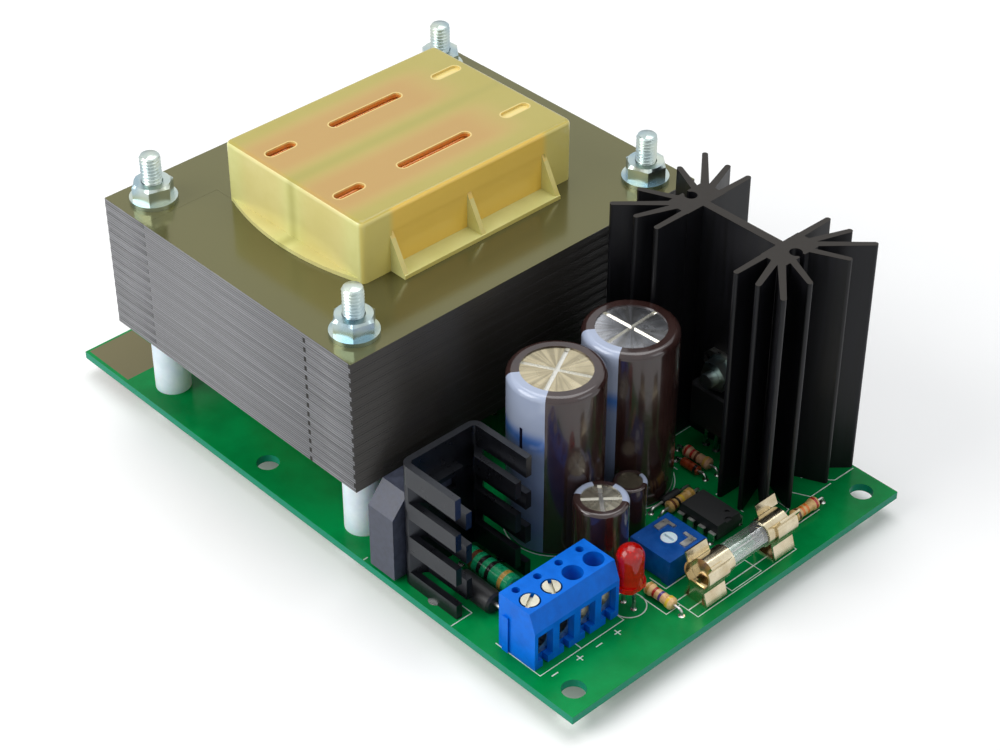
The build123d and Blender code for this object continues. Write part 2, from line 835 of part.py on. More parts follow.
def capacitor_can(place, vent, dia, high):
    """A sealed can with a bevelled top edge and a pressed cross that can vent it."""
    bevel = dia * rim_share / 4
    with BuildPart() as can:
        with BuildSketch(Plane((*place, board_top + can_up))):
            Circle(dia / 2 - sleeve_thick - press_gap)
        extrude(amount=high - can_up - sleeve_thick)
        chamfer(can.edges().sort_by(Axis.Z)[-1], bevel)
        if vent is not None:
            cross = dia * (1 - rim_share)
            with BuildSketch(Plane((*place, board_top + high - sleeve_thick))):
                Rectangle(cross, vent_width, rotation=vent)
                Rectangle(vent_width, cross, rotation=vent)
            extrude(amount=-vent_deep, mode=Mode.SUBTRACT)
    return can


def capacitor_sleeve(place, dia, high):
    """A sleeve round the can, rolled in over the edge of its top."""
    bevel = dia * rim_share / 4
    can_radius = dia / 2 - sleeve_thick
    with BuildPart() as sleeve:
        with BuildSketch(Plane((*place, board_top + can_up))):
            Circle(dia / 2)
        extrude(amount=high - can_up)
        fillet(sleeve.edges().sort_by(Axis.Z)[-1], bevel)
        with BuildSketch(Plane((*place, board_top + can_up))):
            Circle(can_radius)
        extrude(amount=high - can_up - sleeve_thick - bevel, mode=Mode.SUBTRACT)
        with BuildSketch(Plane((*place, board_top + high - sleeve_thick - bevel))):
            Circle(can_radius)
        with BuildSketch(Plane((*place, board_top + high - sleeve_thick))):
            Circle(can_radius - bevel)
        loft(mode=Mode.SUBTRACT)
        with BuildSketch(Plane((*place, board_top + high - sleeve_thick))):
            Circle(dia / 2 * (1 - rim_share))
        extrude(amount=sleeve_thick, mode=Mode.SUBTRACT)
    return sleeve


for number, (place, vent, dia, high, pitch, lead_dia) in enumerate(capacitors, start=1):
    can = capacitor_can(place, vent, dia, high)
    can.part.label = f"capacitor_{number}_can"
    export_step(can.part, f"parts/capacitor_{number}_can.step")
    sleeve = capacitor_sleeve(place, dia, high)
    sleeve.part.label = f"capacitor_{number}_sleeve"
    export_step(sleeve.part, f"parts/capacitor_{number}_sleeve.step")

with BuildPart() as capacitor_leads:
    for place, vent, dia, high, pitch, lead_dia in capacitors:
        places = [(place[0], place[1] + y) for y in spread(2, pitch)]
        need_holes(places, lead_dia)
        with BuildSketch(Plane.XY.offset(lead_end)):
            with Locations(*places):
                Circle(lead_dia / 2)
        extrude(amount=lead_drop + can_up)
capacitor_leads.part.label = "capacitor_leads"
export_step(capacitor_leads.part, "parts/capacitor_leads.step")

# Screw terminals. Each way has a cavity with a clamp in it, a screw shaft from
# above, a mouth for the wire in front and a small hole for a test probe behind.
housing_long = terminal_ways * terminal_pitch
terminal_front = terminal_x0 + terminal_depth
clamp_front = screw_bore_x + clamp_depth / 2
clamp_back = screw_bore_x - clamp_depth / 2
cavity_top = clamp_up + clamp_high + press_gap


def terminal_housing(centre_y):
    """One 2-way housing, with a dovetail rib on one end and its groove on the other."""
    low_end = centre_y - housing_long / 2
    high_end = centre_y + housing_long / 2
    ways = [centre_y + y for y in spread(terminal_ways, terminal_pitch)]
    with BuildPart() as housing:
        with BuildSketch(Plane.XZ.offset(-high_end)):
            with BuildLine():
                Polyline(
                    (terminal_x0, board_top),
                    (terminal_front, board_top),
                    (terminal_front, board_top + terminal_slant_up),
                    (terminal_x0 + terminal_top_depth, board_top + terminal_high),
                    (terminal_x0, board_top + terminal_high),
                    close=True,
                )
            make_face()
        extrude(amount=housing_long)
        # cavities and wire mouths in one cut from the front
        with BuildSketch(Plane.XY.offset(board_top + clamp_up - press_gap)):
            for y in ways:
                with Locations(((clamp_back + clamp_front) / 2, y)):
                    Rectangle(clamp_depth + 2 * press_gap, clamp_width + 2 * press_gap)
        extrude(amount=clamp_high + 2 * press_gap, mode=Mode.SUBTRACT)
        with BuildSketch(Plane.YZ.offset(clamp_front)):
            mouth_middle = board_top + (wire_mouth_up + wire_mouth_top) / 2
            with Locations(*[(y, mouth_middle) for y in ways]):
                Rectangle(wire_mouth_width, wire_mouth_top - wire_mouth_up)
        extrude(amount=terminal_front - clamp_front, mode=Mode.SUBTRACT)
        with BuildSketch(Plane.YZ.offset(clamp_front)):
            with Locations(*[(y, board_top + wire_mouth_up / 2) for y in ways]):
                Rectangle(lip_slit, wire_mouth_up)
        extrude(amount=terminal_front - clamp_front, mode=Mode.SUBTRACT)
        with BuildSketch(Plane.XY.offset(board_top + cavity_top)):
            with Locations(*[(screw_bore_x, y) for y in ways]):
                Circle(screw_bore_dia / 2)
        extrude(amount=terminal_high - cavity_top, mode=Mode.SUBTRACT)
        with BuildSketch(Plane.XY.offset(board_top + terminal_high)):
            with Locations(*[(probe_hole_x, y) for y in ways]):
                Circle(probe_hole_dia / 2)
        extrude(amount=-probe_hole_deep, mode=Mode.SUBTRACT)
        # slots in the floor for the solder pins
        with BuildSketch(Plane.XY.offset(board_top)):
            with Locations(*[(screw_bore_x, y) for y in ways]):
                Rectangle(clamp_pin_thick + 2 * press_gap, clamp_pin_width + 2 * press_gap)
        extrude(amount=clamp_up, mode=Mode.SUBTRACT)
        with BuildSketch(Plane.XY.offset(board_top)):
            with BuildLine():
                Polyline(
                    (rib_x - rib_wide / 3, low_end),
                    (rib_x + rib_wide / 3, low_end),
                    (rib_x + rib_wide / 2, low_end - rib_out),
                    (rib_x - rib_wide / 2, low_end - rib_out),
                    close=True,
                )
            make_face()
        extrude(amount=rib_high)
        with BuildSketch(Plane.XY.offset(board_top)):
            with BuildLine():
                Polyline(
                    (rib_x - rib_wide / 3 - press_gap, high_end),
                    (rib_x + rib_wide / 3 + press_gap, high_end),
                    (rib_x + rib_wide / 2 + press_gap, high_end - rib_out - press_gap),
                    (rib_x - rib_wide / 2 - press_gap, high_end - rib_out - press_gap),
                    close=True,
                )
            make_face()
        extrude(amount=rib_high + press_gap, mode=Mode.SUBTRACT)
    return housing


housing_centres = [terminal_seam_y + i * housing_long / 2 for i in (-1, 1)]
for number, centre_y in enumerate(housing_centres, start=1):
    housing = terminal_housing(centre_y)
    housing.part.label = f"terminal_housing_{number}"
    export_step(housing.part, f"parts/terminal_housing_{number}.step")

clamp_rows = [terminal_seam_y + y for y in spread(2 * terminal_ways, terminal_pitch)]
clamp_places = [(screw_bore_x, y) for y in clamp_rows]
thread_radius = clamp_screw_dia / 2 + press_gap
need_holes(clamp_places, (clamp_pin_width**2 + clamp_pin_thick**2) ** 0.5)
with BuildPart() as clamps:
    with BuildSketch(Plane.XY.offset(board_top + clamp_up)):
        with Locations(*clamp_places):
            Rectangle(clamp_depth, clamp_width)
    extrude(amount=clamp_high)
    with BuildSketch(Plane.YZ.offset(clamp_back)):
        with Locations(*[(y, board_top + clamp_wire_up) for y in clamp_rows]):
            Circle(clamp_wire_dia / 2)
    extrude(amount=clamp_depth, mode=Mode.SUBTRACT)
    lowest_tip = clamp_screw_tip_up - clamp_screw_travel - clamp_screw_clear
    with BuildSketch(Plane.XY.offset(board_top + lowest_tip)):
        with Locations(*clamp_places):
            Circle(thread_radius)
    extrude(amount=clamp_high, mode=Mode.SUBTRACT)
    with BuildSketch(Plane.XY.offset(lead_end)):
        with Locations(*clamp_places):
            Rectangle(clamp_pin_thick, clamp_pin_width)
    extrude(amount=lead_drop + clamp_up)
clamps.part.label = "terminal_clamps"
export_step(clamps.part, "parts/terminal_clamps.step")

for number, (y, is_down) in enumerate(zip(clamp_rows, screw_down), start=1):
    shift = -clamp_screw_travel if is_down else 0
    tip = board_top + clamp_screw_tip_up + shift
    head_top = board_top + terminal_high + shift
    with BuildPart() as clamp_screw:
        with BuildSketch(Plane((screw_bore_x, y, tip))):
            Circle(clamp_screw_dia / 2)
        extrude(amount=head_top - clamp_screw_head_high - tip)
        with BuildSketch(Plane((screw_bore_x, y, head_top - clamp_screw_head_high))):
            Circle(clamp_screw_head / 2)
        extrude(amount=clamp_screw_head_high)
        with BuildSketch(Plane((screw_bore_x, y, head_top))):
            Rectangle(clamp_screw_slot, clamp_screw_head, rotation=30 * number)
        extrude(amount=-clamp_screw_slot_deep, mode=Mode.SUBTRACT)
    clamp_screw.part.label = f"terminal_screw_{number}"
    export_step(clamp_screw.part, f"parts/terminal_screw_{number}.step")

# Indicator lamp: a flanged lens with a domed end, stood off on its leads
lamp_bottom = board_top + lamp_up
with BuildPart() as lamp:
    with BuildSketch(Plane((lamp_x, lamp_y, lamp_bottom))):
        Circle(lamp_flange_dia / 2)
        with Locations((lamp_flange_dia / 2 - press_gap, 0)):
            flat = (lamp_flange_dia - lamp_dia) / 2
            Rectangle(2 * flat, lamp_flange_dia, mode=Mode.SUBTRACT)
    extrude(amount=lamp_flange_high)
    with BuildSketch(Plane((lamp_x, lamp_y, lamp_bottom))):
        Circle(lamp_dia / 2)
    extrude(amount=lamp_high)
    fillet(lamp.edges().sort_by(Axis.Z)[-1], lamp_dia / 2 - press_gap)
lamp.part.label = "indicator_lens"
export_step(lamp.part, "parts/indicator_lens.step")

lamp_lead_places = [(lamp_x + x, lamp_y) for x in spread(2, lamp_lead_pitch)]
need_holes(lamp_lead_places, lamp_lead * 2**0.5)
with BuildPart() as lamp_leads:
    with BuildSketch(Plane.XY.offset(lead_end)):
        with Locations(*lamp_lead_places):
            Rectangle(lamp_lead, lamp_lead)
    extrude(amount=lamp_bottom - lead_end)
lamp_leads.part.label = "indicator_leads"
export_step(lamp_leads.part, "parts/indicator_leads.step")

# Trimmer: a block on four corner feet with a round rotor in its top
trimmer_bottom = board_top + trimmer_up
trimmer_top = trimmer_bottom + trimmer_high
with BuildPart() as trimmer:
    with BuildSketch(Plane((trimmer_x, trimmer_y, trimmer_bottom))):
        Rectangle(trimmer_side, trimmer_side)
    extrude(amount=trimmer_high)
    with BuildSketch(Plane((trimmer_x, trimmer_y, board_top))):
        inset = trimmer_side - trimmer_foot
        with GridLocations(inset, inset, 2, 2):
            Rectangle(trimmer_foot, trimmer_foot)
    extrude(amount=trimmer_up)
    with BuildSketch(Plane((trimmer_x, trimmer_y, trimmer_top))):
        Circle(rotor_dia / 2 + press_gap)
    extrude(amount=-rotor_deep, mode=Mode.SUBTRACT)
trimmer.part.label = "trimmer_body"
export_step(trimmer.part, "parts/trimmer_body.step")

with BuildPart() as rotor:
    with BuildSketch(Plane((trimmer_x, trimmer_y, trimmer_top))):
        Circle(rotor_dia / 2)
    extrude(amount=-rotor_deep)
    with BuildSketch(Plane((trimmer_x, trimmer_y, trimmer_top))):
        Rectangle(rotor_slot_long, rotor_slot_width)
    extrude(amount=-rotor_slot_deep, mode=Mode.SUBTRACT)
rotor.part.label = "trimmer_rotor"
export_step(rotor.part, "parts/trimmer_rotor.step")

# Two L-shaped contact plates on the top, mirror images of each other
with BuildPart() as contacts:
    with BuildSketch(Plane((trimmer_x, trimmer_y, trimmer_top))):
        with Locations((contact_inner + contact_width / 2, contact_long / 2)):
            Rectangle(contact_width, contact_long)
        with Locations(((contact_inner + contact_bar_end) / 2, contact_long - contact_bar / 2)):
            Rectangle(contact_inner - contact_bar_end, contact_bar)
        mirror(about=Plane.YZ)
    extrude(amount=contact_thick)
contacts.part.label = "trimmer_contacts"
export_step(contacts.part, "parts/trimmer_contacts.step")

trimmer_pin_places = [
    (trimmer_x - trimmer_pin_pitch, trimmer_y + trimmer_pin_pitch),
    (trimmer_x + trimmer_pin_pitch, trimmer_y + trimmer_pin_pitch),
    (trimmer_x, trimmer_y - trimmer_pin_pitch),
]
need_holes(trimmer_pin_places, trimmer_pin_width * 2**0.5)
with BuildPart() as trimmer_pins:
    with BuildSketch(Plane.XY.offset(lead_end)):
        with Locations(*trimmer_pin_places):
            Rectangle(trimmer_pin_width, trimmer_pin_width)
    extrude(amount=lead_drop + trimmer_up)
trimmer_pins.part.label = "trimmer_pins"
export_step(trimmer_pins.part, "parts/trimmer_pins.step")

# Control chip: a moulding that tapers up and down from its lead line
chip_middle = board_top + chip_up + chip_high / 2
with BuildPart() as chip:
    for way in (-1, 1):
        with BuildSketch(Plane((chip_x, chip_y, chip_middle))):
            Rectangle(chip_long, chip_wide)
        with BuildSketch(Plane((chip_x, chip_y, chip_middle + way * chip_high / 2))):
            Rectangle(chip_long - 2 * chip_draft, chip_wide - 2 * chip_draft)
        loft()
    chip_top = chip_middle + chip_high / 2
    with BuildSketch(Plane((chip_x, chip_y, chip_top))):
        with Locations((chip_long / 2 - chip_draft, 0)):
            Circle(chip_notch_radius)
        with Locations((chip_dimple_x, chip_dimple_y)):
            Circle(chip_dimple_dia / 2)
    extrude(amount=-chip_notch_deep, mode=Mode.SUBTRACT)
chip.part.label = "control_chip_body"
export_step(chip.part, "parts/control_chip_body.step")

chip_pin_rows = [
    (chip_x + x, chip_y + side * chip_row_spacing / 2)
    for side in (-1, 1)
    for x in spread(4, chip_pin_pitch)
]
need_holes(chip_pin_rows, chip_pin_narrow)
with BuildPart() as chip_pins:
    with BuildSketch(Plane.XY.offset(board_top + chip_up)):
        with Locations(*chip_pin_rows):
            Rectangle(chip_pin_wide, chip_pin_thick)
    extrude(amount=chip_middle - board_top - chip_up)
    shoulder = (chip_row_spacing - chip_wide) / 2 + chip_pin_thick / 2
    shoulder_y = chip_wide / 2 + shoulder / 2
    with BuildSketch(Plane.XY.offset(chip_middle - chip_pin_thick / 2)):
        with Locations(
            *[(chip_x + x, chip_y + i * shoulder_y) for i in (-1, 1) for x in spread(4, chip_pin_pitch)]
        ):
            Rectangle(chip_pin_wide, shoulder)
    extrude(amount=chip_pin_thick)
    with BuildSketch(Plane.XY.offset(lead_end)):
        with Locations(*chip_pin_rows):
            Rectangle(chip_pin_narrow, chip_pin_thick)
    extrude(amount=lead_drop + chip_up)
chip_pins.part.label = "control_chip_pins"
export_step(chip_pins.part, "parts/control_chip_pins.step")

# Fuse: a glass tube with a metal cap pressed on each end and a wire inside
fuse_z = board_top + fuse_up
fuse_y1 = fuse_y + fuse_long / 2
glass_radius = fuse_dia / 2 - fuse_cap_wall - press_gap
with BuildPart() as fuse_glass:
    with BuildSketch(Plane.XZ.offset(-(fuse_y1 - fuse_cap_wall))):
        with Locations((fuse_x, fuse_z)):
            Circle(glass_radius)
            Circle(glass_radius - fuse_glass_wall, mode=Mode.SUBTRACT)
    extrude(amount=fuse_long - 2 * fuse_cap_wall)
fuse_glass.part.label = "fuse_glass"
export_step(fuse_glass.part, "parts/fuse_glass.step")

with BuildPart() as fuse_caps:
    with BuildSketch(Plane.XZ.offset(-fuse_y1)):
        with Locations((fuse_x, fuse_z)):
            Circle(fuse_dia / 2)
    extrude(amount=fuse_cap_long)
    with BuildSketch(Plane.XZ.offset(-(fuse_y1 - fuse_cap_wall))):
        with Locations((fuse_x, fuse_z)):
            Circle(fuse_dia / 2 - fuse_cap_wall)
    extrude(amount=fuse_cap_long, mode=Mode.SUBTRACT)
    mirror(about=Plane.XZ.offset(-fuse_y))
fuse_caps.part.label = "fuse_caps"
export_step(fuse_caps.part, "parts/fuse_caps.step")

with BuildPart() as fuse_wire:
    with BuildSketch(Plane.XZ.offset(-(fuse_y1 - fuse_cap_wall))):
        with Locations((fuse_x, fuse_z)):
            Circle(fuse_wire_dia / 2)
    extrude(amount=fuse_long - 2 * fuse_cap_wall)
fuse_wire.part.label = "fuse_wire"
export_step(fuse_wire.part, "parts/fuse_wire.step")

# Spring clips: one strip each, from a flat base up legs that lean in to a neck,
# round the cap and out to a flared lip, with a stop behind the end of the fuse
clip_radius = fuse_dia / 2 + press_gap
with BuildPart() as clips:
    with BuildSketch(Plane.XZ.offset(-(fuse_y1 + clip_overhang))):
        with BuildLine():
            base = (fuse_x + clip_base_half, board_top + clip_sheet)
            neck = (fuse_x + clip_neck_half, board_top + clip_neck_up)
            wide = (fuse_x + clip_radius, fuse_z)
            throat_up = (clip_radius**2 - clip_throat_half**2) ** 0.5
            throat = (fuse_x + clip_throat_half, fuse_z + throat_up)
            neck_down = (clip_radius**2 - clip_neck_half**2) ** 0.5
            grip = (fuse_x + clip_neck_half, fuse_z - neck_down)
            lip = (fuse_x + clip_lip_half, board_top + clip_lip_up)
            Line((fuse_x, board_top + clip_sheet), base)
            Line(base, neck)
            Line(neck, grip)
            ThreePointArc(grip, wide, throat)
            Line(throat, lip)
            offset(amount=clip_sheet, side=Side.RIGHT)
        make_face()
        mirror(about=Plane((fuse_x, 0, 0), z_dir=(1, 0, 0)))
    extrude(amount=clip_width)
    with BuildSketch(Plane.XZ.offset(-(fuse_y1 + clip_overhang))):
        with Locations((fuse_x, board_top + clip_stop_high / 2)):
            Rectangle(2 * clip_neck_half, clip_stop_high)
    extrude(amount=clip_sheet)
    mirror(about=Plane.XZ.offset(-fuse_y))
    clip_middle_y = fuse_y1 + clip_overhang - clip_width / 2
    clip_foot_y = clip_middle_y - fuse_y
    clip_feet = [(fuse_x, fuse_y + i * clip_foot_y) for i in (-1, 1)]
    with BuildSketch(Plane.XY.offset(lead_end)):
        with Locations(*clip_feet):
            Rectangle(clip_leg_width, clip_sheet)
    extrude(amount=lead_drop)
clips.part.label = "fuse_clips"
export_step(clips.part, "parts/fuse_clips.step")
need_holes(clip_feet, (clip_leg_width**2 + clip_sheet**2) ** 0.5)

# Small parts that lie on the board with their leads bent down into it
lying = {"x": (Vector(1, 0, 0), Vector(0, -1, 0)), "y": (Vector(0, 1, 0), Vector(1, 0, 0))}


def lying_plane(place, up, along):
    """A plane through a lying part's axis: local x along it, local y upwards."""
    direction, side = lying[along]
    return Plane(origin=(*place, board_top + up), x_dir=direction, z_dir=side)


def small_resistor(place, along):
    """A dog-bone resistor body, bevelled at its ends."""
    where = lying_plane(place, small_body_dia / 2 + press_gap, along)
    end = small_body_long / 2
    bulb = small_body_dia / 2
    waist = small_waist_dia / 2
    with BuildPart() as body:
        with BuildSketch(where):
            with BuildLine():
                Polyline(
                    (-end, 0),
                    (-end, bulb - small_bevel),
                    (-end + small_bevel, bulb),
                    (-end + small_bulb_long, bulb),
                    (-end + small_bulb_long + small_bevel, waist),
                    (0, waist),
                    (0, 0),
                    close=True,
                )
            make_face()
            mirror(about=Plane.YZ)
        revolve(axis=Axis(where.origin, where.x_dir))
    return body


def round_body(place, along, dia, length, up):
    """A plain round body with bevelled ends, on its side."""
    where = lying_plane(place, up, along)
    start = where.origin - where.x_dir * length / 2
    with BuildPart() as body:
        with BuildSketch(Plane(origin=start, z_dir=where.x_dir)):
            Circle(dia / 2)
        extrude(amount=length)
        chamfer(body.edges().filter_by(GeomType.CIRCLE), dia / 10)
    return body


def bent_leads(place, along, body_long, pitch, dia, up):
    """The two leads of a lying part, bent down into the board."""
    where = lying_plane(place, up, along)
    with BuildPart() as leads:
        for way in (-1, 1):
            with BuildLine() as route:
                top = where.origin
                out = where.x_dir * way
                FilletPolyline(
                    top + out * body_long / 2,
                    top + out * pitch / 2,
                    top + out * pitch / 2 - Vector(0, 0, up + lead_drop),
                    radius=lead_bend,
                )
            with BuildSketch(Plane(origin=top + out * body_long / 2, z_dir=out)):
                Circle(dia / 2)
            sweep(path=route.wires()[0])
    feet = [(top + where.x_dir * way * pitch / 2) for way in (-1, 1)]
    need_holes([(foot.X, foot.Y) for foot in feet], dia)
    return leads


small_up = small_body_dia / 2 + press_gap
resistor_places = [
    (resistor_1_at, "y"),
    (resistor_2_at, "x"),
    (resistor_3_at, "x"),
    (resistor_4_at, "y"),
]
all_leads = []
with BuildPart() as small_resistors:
    for place, along in resistor_places:
        add(small_resistor(place, along).part)
        all_leads.append(
            bent_leads(place, along, small_body_long, small_pitch, small_lead_dia, small_up)
        )
small_resistors.part.label = "small_resistors"
export_step(small_resistors.part, "parts/small_resistors.step")

power_resistor = round_body(
    power_resistor_at, "x", power_resistor_dia, power_resistor_long, power_resistor_up
)
power_resistor.part.label = "power_resistor"
export_step(power_resistor.part, "parts/power_resistor.step")
all_leads.append(
    bent_leads(
        power_resistor_at,
        "x",
        power_resistor_long,
        power_resistor_pitch,
        power_lead_dia,
        power_resistor_up,
    )
)

power_diode_up = power_diode_dia / 2 + press_gap
power_diode = round_body(power_diode_at, "x", power_diode_dia, power_diode_long, power_diode_up)
power_diode.part.label = "power_diode"
export_step(power_diode.part, "parts/power_diode.step")
all_leads.append(
    bent_leads(
        power_diode_at, "x", power_diode_long, power_diode_pitch, power_lead_dia, power_diode_up
    )
)

small_diode_up = small_diode_dia / 2 + press_gap
small_diode = round_body(small_diode_at, "y", small_diode_dia, small_diode_long, small_diode_up)
small_diode.part.label = "small_diode"
export_step(small_diode.part, "parts/small_diode.step")
all_leads.append(
    bent_leads(
        small_diode_at, "y", small_diode_long, small_pitch, small_lead_dia, small_diode_up
    )
)

glass_diode = round_body(glass_diode_at, "x", small_diode_dia, small_diode_long, small_diode_up)
glass_diode.part.label = "glass_diode"
export_step(glass_diode.part, "parts/glass_diode.step")
all_leads.append(
    bent_leads(
        glass_diode_at, "x", small_diode_long, glass_diode_pitch, small_lead_dia, small_diode_up
    )
)

with BuildPart() as bent:
    for leads in all_leads:
        add(leads.part)
bent.part.label = "lying_part_leads"
export_step(bent.part, "parts/lying_part_leads.step")

# Circuit board, last, because every lead above has asked it for a hole
with BuildPart() as board:
    with BuildSketch(Plane.XY.offset(board_bottom)):
        Rectangle(board_length, board_width)
        with Locations((mount_centre_x, 0)):
            with GridLocations(mount_spacing_x, mount_spacing_y, 2, 2):
                Circle(mount_hole_dia / 2, mode=Mode.SUBTRACT)
        with Locations(*bolt_places):
            Circle(bolt_hole_dia / 2, mode=Mode.SUBTRACT)
        for radius, places in board_holes.items():
            with Locations(*places):
                Circle(radius, mode=Mode.SUBTRACT)
    extrude(amount=board_thick)
board.part.label = "circuit_board"
export_step(board.part, "parts/circuit_board.step")
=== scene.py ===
# %% [markdown]
# # An open-frame power supply board
# The object is a small linear supply: a transformer, two heatsinks and some twenty small
# parts on one green board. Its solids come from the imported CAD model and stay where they
# are. This script adds what the solids leave out: finishes, the single sheets of the core,
# the turns of wire, cut threads, print, tracks and solder. The scene is in metres in the
# CAD frame, with +X towards the terminals and +Z up.

# %% Load the frame
import math
from functools import partial

import bmesh
import bpy
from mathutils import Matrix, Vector


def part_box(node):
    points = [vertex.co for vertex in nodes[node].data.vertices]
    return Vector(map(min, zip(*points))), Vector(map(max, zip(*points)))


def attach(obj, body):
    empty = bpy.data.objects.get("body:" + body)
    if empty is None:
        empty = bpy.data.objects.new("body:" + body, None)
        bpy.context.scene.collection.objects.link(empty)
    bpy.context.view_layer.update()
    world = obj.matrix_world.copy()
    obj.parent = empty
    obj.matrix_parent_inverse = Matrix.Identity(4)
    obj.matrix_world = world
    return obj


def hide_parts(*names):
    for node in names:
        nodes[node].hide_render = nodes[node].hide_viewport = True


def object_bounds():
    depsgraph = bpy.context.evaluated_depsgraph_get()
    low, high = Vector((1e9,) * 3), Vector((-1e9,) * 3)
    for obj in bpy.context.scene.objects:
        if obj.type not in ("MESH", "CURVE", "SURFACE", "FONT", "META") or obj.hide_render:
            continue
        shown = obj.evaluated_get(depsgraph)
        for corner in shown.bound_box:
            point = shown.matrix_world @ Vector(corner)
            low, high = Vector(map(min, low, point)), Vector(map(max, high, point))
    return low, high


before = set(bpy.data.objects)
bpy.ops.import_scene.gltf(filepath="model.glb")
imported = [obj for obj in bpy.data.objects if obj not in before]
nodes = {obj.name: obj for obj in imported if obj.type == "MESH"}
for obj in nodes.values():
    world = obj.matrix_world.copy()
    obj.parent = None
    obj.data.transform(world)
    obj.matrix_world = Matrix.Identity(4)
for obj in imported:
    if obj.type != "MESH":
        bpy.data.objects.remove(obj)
cad_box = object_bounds()
scene = bpy.context.scene
MM = 0.001
board_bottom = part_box("circuit_board")[0].z
board_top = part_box("circuit_board")[1].z
print("nodes", len(nodes), "board top", round(board_top / MM, 2), "mm")

# %% [markdown]
# ## Camera
# The photograph looks down on the near corner of the board through a long lens. A camera
# could be turned by eye until the picture fits. Here the corners of the board and of the
# core were matched first, and that gave the place, the two angles and the lens, so that
# every part falls where the photograph has it.


# %% Camera
def add_object(name, data):
    """A new object that holds the data, linked into the scene."""
    new = bpy.data.objects.new(name, data)
    scene.collection.objects.link(new)
    return new


camera = bpy.data.cameras.new("camera")
camera.sensor_width = 36.0
camera.lens = 83.6
camera.clip_start = 0.01
camera_tilt, camera_heading = math.radians(52.65), math.radians(46.82)
scene.camera = add_object("camera", camera)
scene.camera.location = (0.2573, -0.2351, 0.28177)
scene.camera.rotation_euler = (camera_tilt, 0, camera_heading)
print("camera", [round(x, 3) for x in scene.camera.location])

# %% [markdown]
# ## Light
# Such boards are photographed under large soft lamps. Small lamps would give hard shadows
# and tiny glints, so three square area lights stand in for soft boxes: one from the left
# for the long side of the core, one above for the tops, and a weak one from the right.


# %% Lamps
def area_light(name, place, size, power, colour=(1.0, 1.0, 1.0)):
    """A square soft light at a place, turned towards the middle of the object."""
    lamp = bpy.data.lights.new(name, "AREA")
    lamp.size = size
    lamp.energy = power
    lamp.color = colour
    lamp_object = add_object(name, lamp)
    lamp_object.location = place
    towards = object_middle - Vector(place)
    lamp_object.rotation_euler = towards.to_track_quat("-Z", "Y").to_euler()


object_middle = Vector((0, 0, 0.03))
area_light("left softbox", (-0.25, -0.55, 0.45), 0.5, 3.6, (1.0, 0.99, 0.97))
area_light("top softbox", (-0.10, 0.15, 0.75), 0.6, 3.0)
area_light("right fill", (0.75, 0.25, 0.40), 0.4, 0.6, (0.95, 0.98, 1.0))
scene.view_settings.view_transform = "Standard"
print("lights", len(bpy.data.lights))

# %% [markdown]
# ## The white wall round the object
# Shiny metal and glass need something pale to mirror, and the photograph is on white. One
# strong white world would do both, but it would also light the object flat from all
# sides. So the wall asks what kind of ray meets it: the camera, a reflection or glass see
# it white, and as a lamp it has under half that strength.


# %% Node helpers and the world
def add_node(tree, kind, links=None, **properties):
    """A node with its properties set, and its inputs linked or given plain values."""
    node = tree.nodes.new(kind)
    for name, value in properties.items():
        setattr(node, name, value)
    for name, value in (links or {}).items():
        if isinstance(value, bpy.types.NodeSocket):
            tree.links.new(value, node.inputs[name])
        else:
            node.inputs[name].default_value = value
    return node


def tree_math(tree, operation, first, second=0.0):
    """One math node on two values, each a number or another node's output."""
    return add_node(tree, "ShaderNodeMath", {0: first, 1: second}, operation=operation).outputs[0]


def ranged(tree, value, low, high, start=0.0, end=1.0, **properties):
    """A value moved from the range low to high into the range start to end."""
    links = {"Value": value, "From Min": low, "From Max": high, "To Min": start, "To Max": end}
    return add_node(tree, "ShaderNodeMapRange", links, **properties).outputs["Result"]


scene.world = bpy.data.worlds.new("world")
scene.world.use_nodes = True
studio = scene.world.node_tree
ray = add_node(studio, "ShaderNodeLightPath").outputs
seen = ray["Is Camera Ray"]
for kind_of_ray in ("Is Glossy Ray", "Is Transmission Ray"):
    seen = tree_math(studio, "MAXIMUM", seen, ray[kind_of_ray])
wall = studio.nodes["Background"]
wall.inputs["Color"].default_value = (0.95, 0.975, 1.0, 1)
as_lamp, as_seen = 0.42, 1.0
studio.links.new(ranged(studio, seen, 0.0, 1.0, as_lamp, as_seen), wall.inputs["Strength"])
print("wall as a lamp", as_lamp, "and as seen", as_seen)

# %% [markdown]
# ## One recipe for every finish
# No real surface is one flat colour: plastic has faint flow marks, metal has streaks, and
# the gloss changes from place to place. Pictures could be wrapped round the parts, but
# they blur close up and need unwrapping. So each finish is worked out in space: one noise
# in Object coordinates drives the colour between two tones, the roughness between two
# values, and a small bump. The size of its grain is given in real millimetres.


# %% The recipe
def srgb(red, green, blue):
    """A colour given as 0 to 255 display values, in the linear values that shaders use."""
    linear = []
    for value in (red, green, blue):
        shown = value / 255
        linear.append(shown / 12.92 if shown <= 0.04045 else ((shown + 0.055) / 1.055) ** 2.4)
    return (*linear, 1.0)


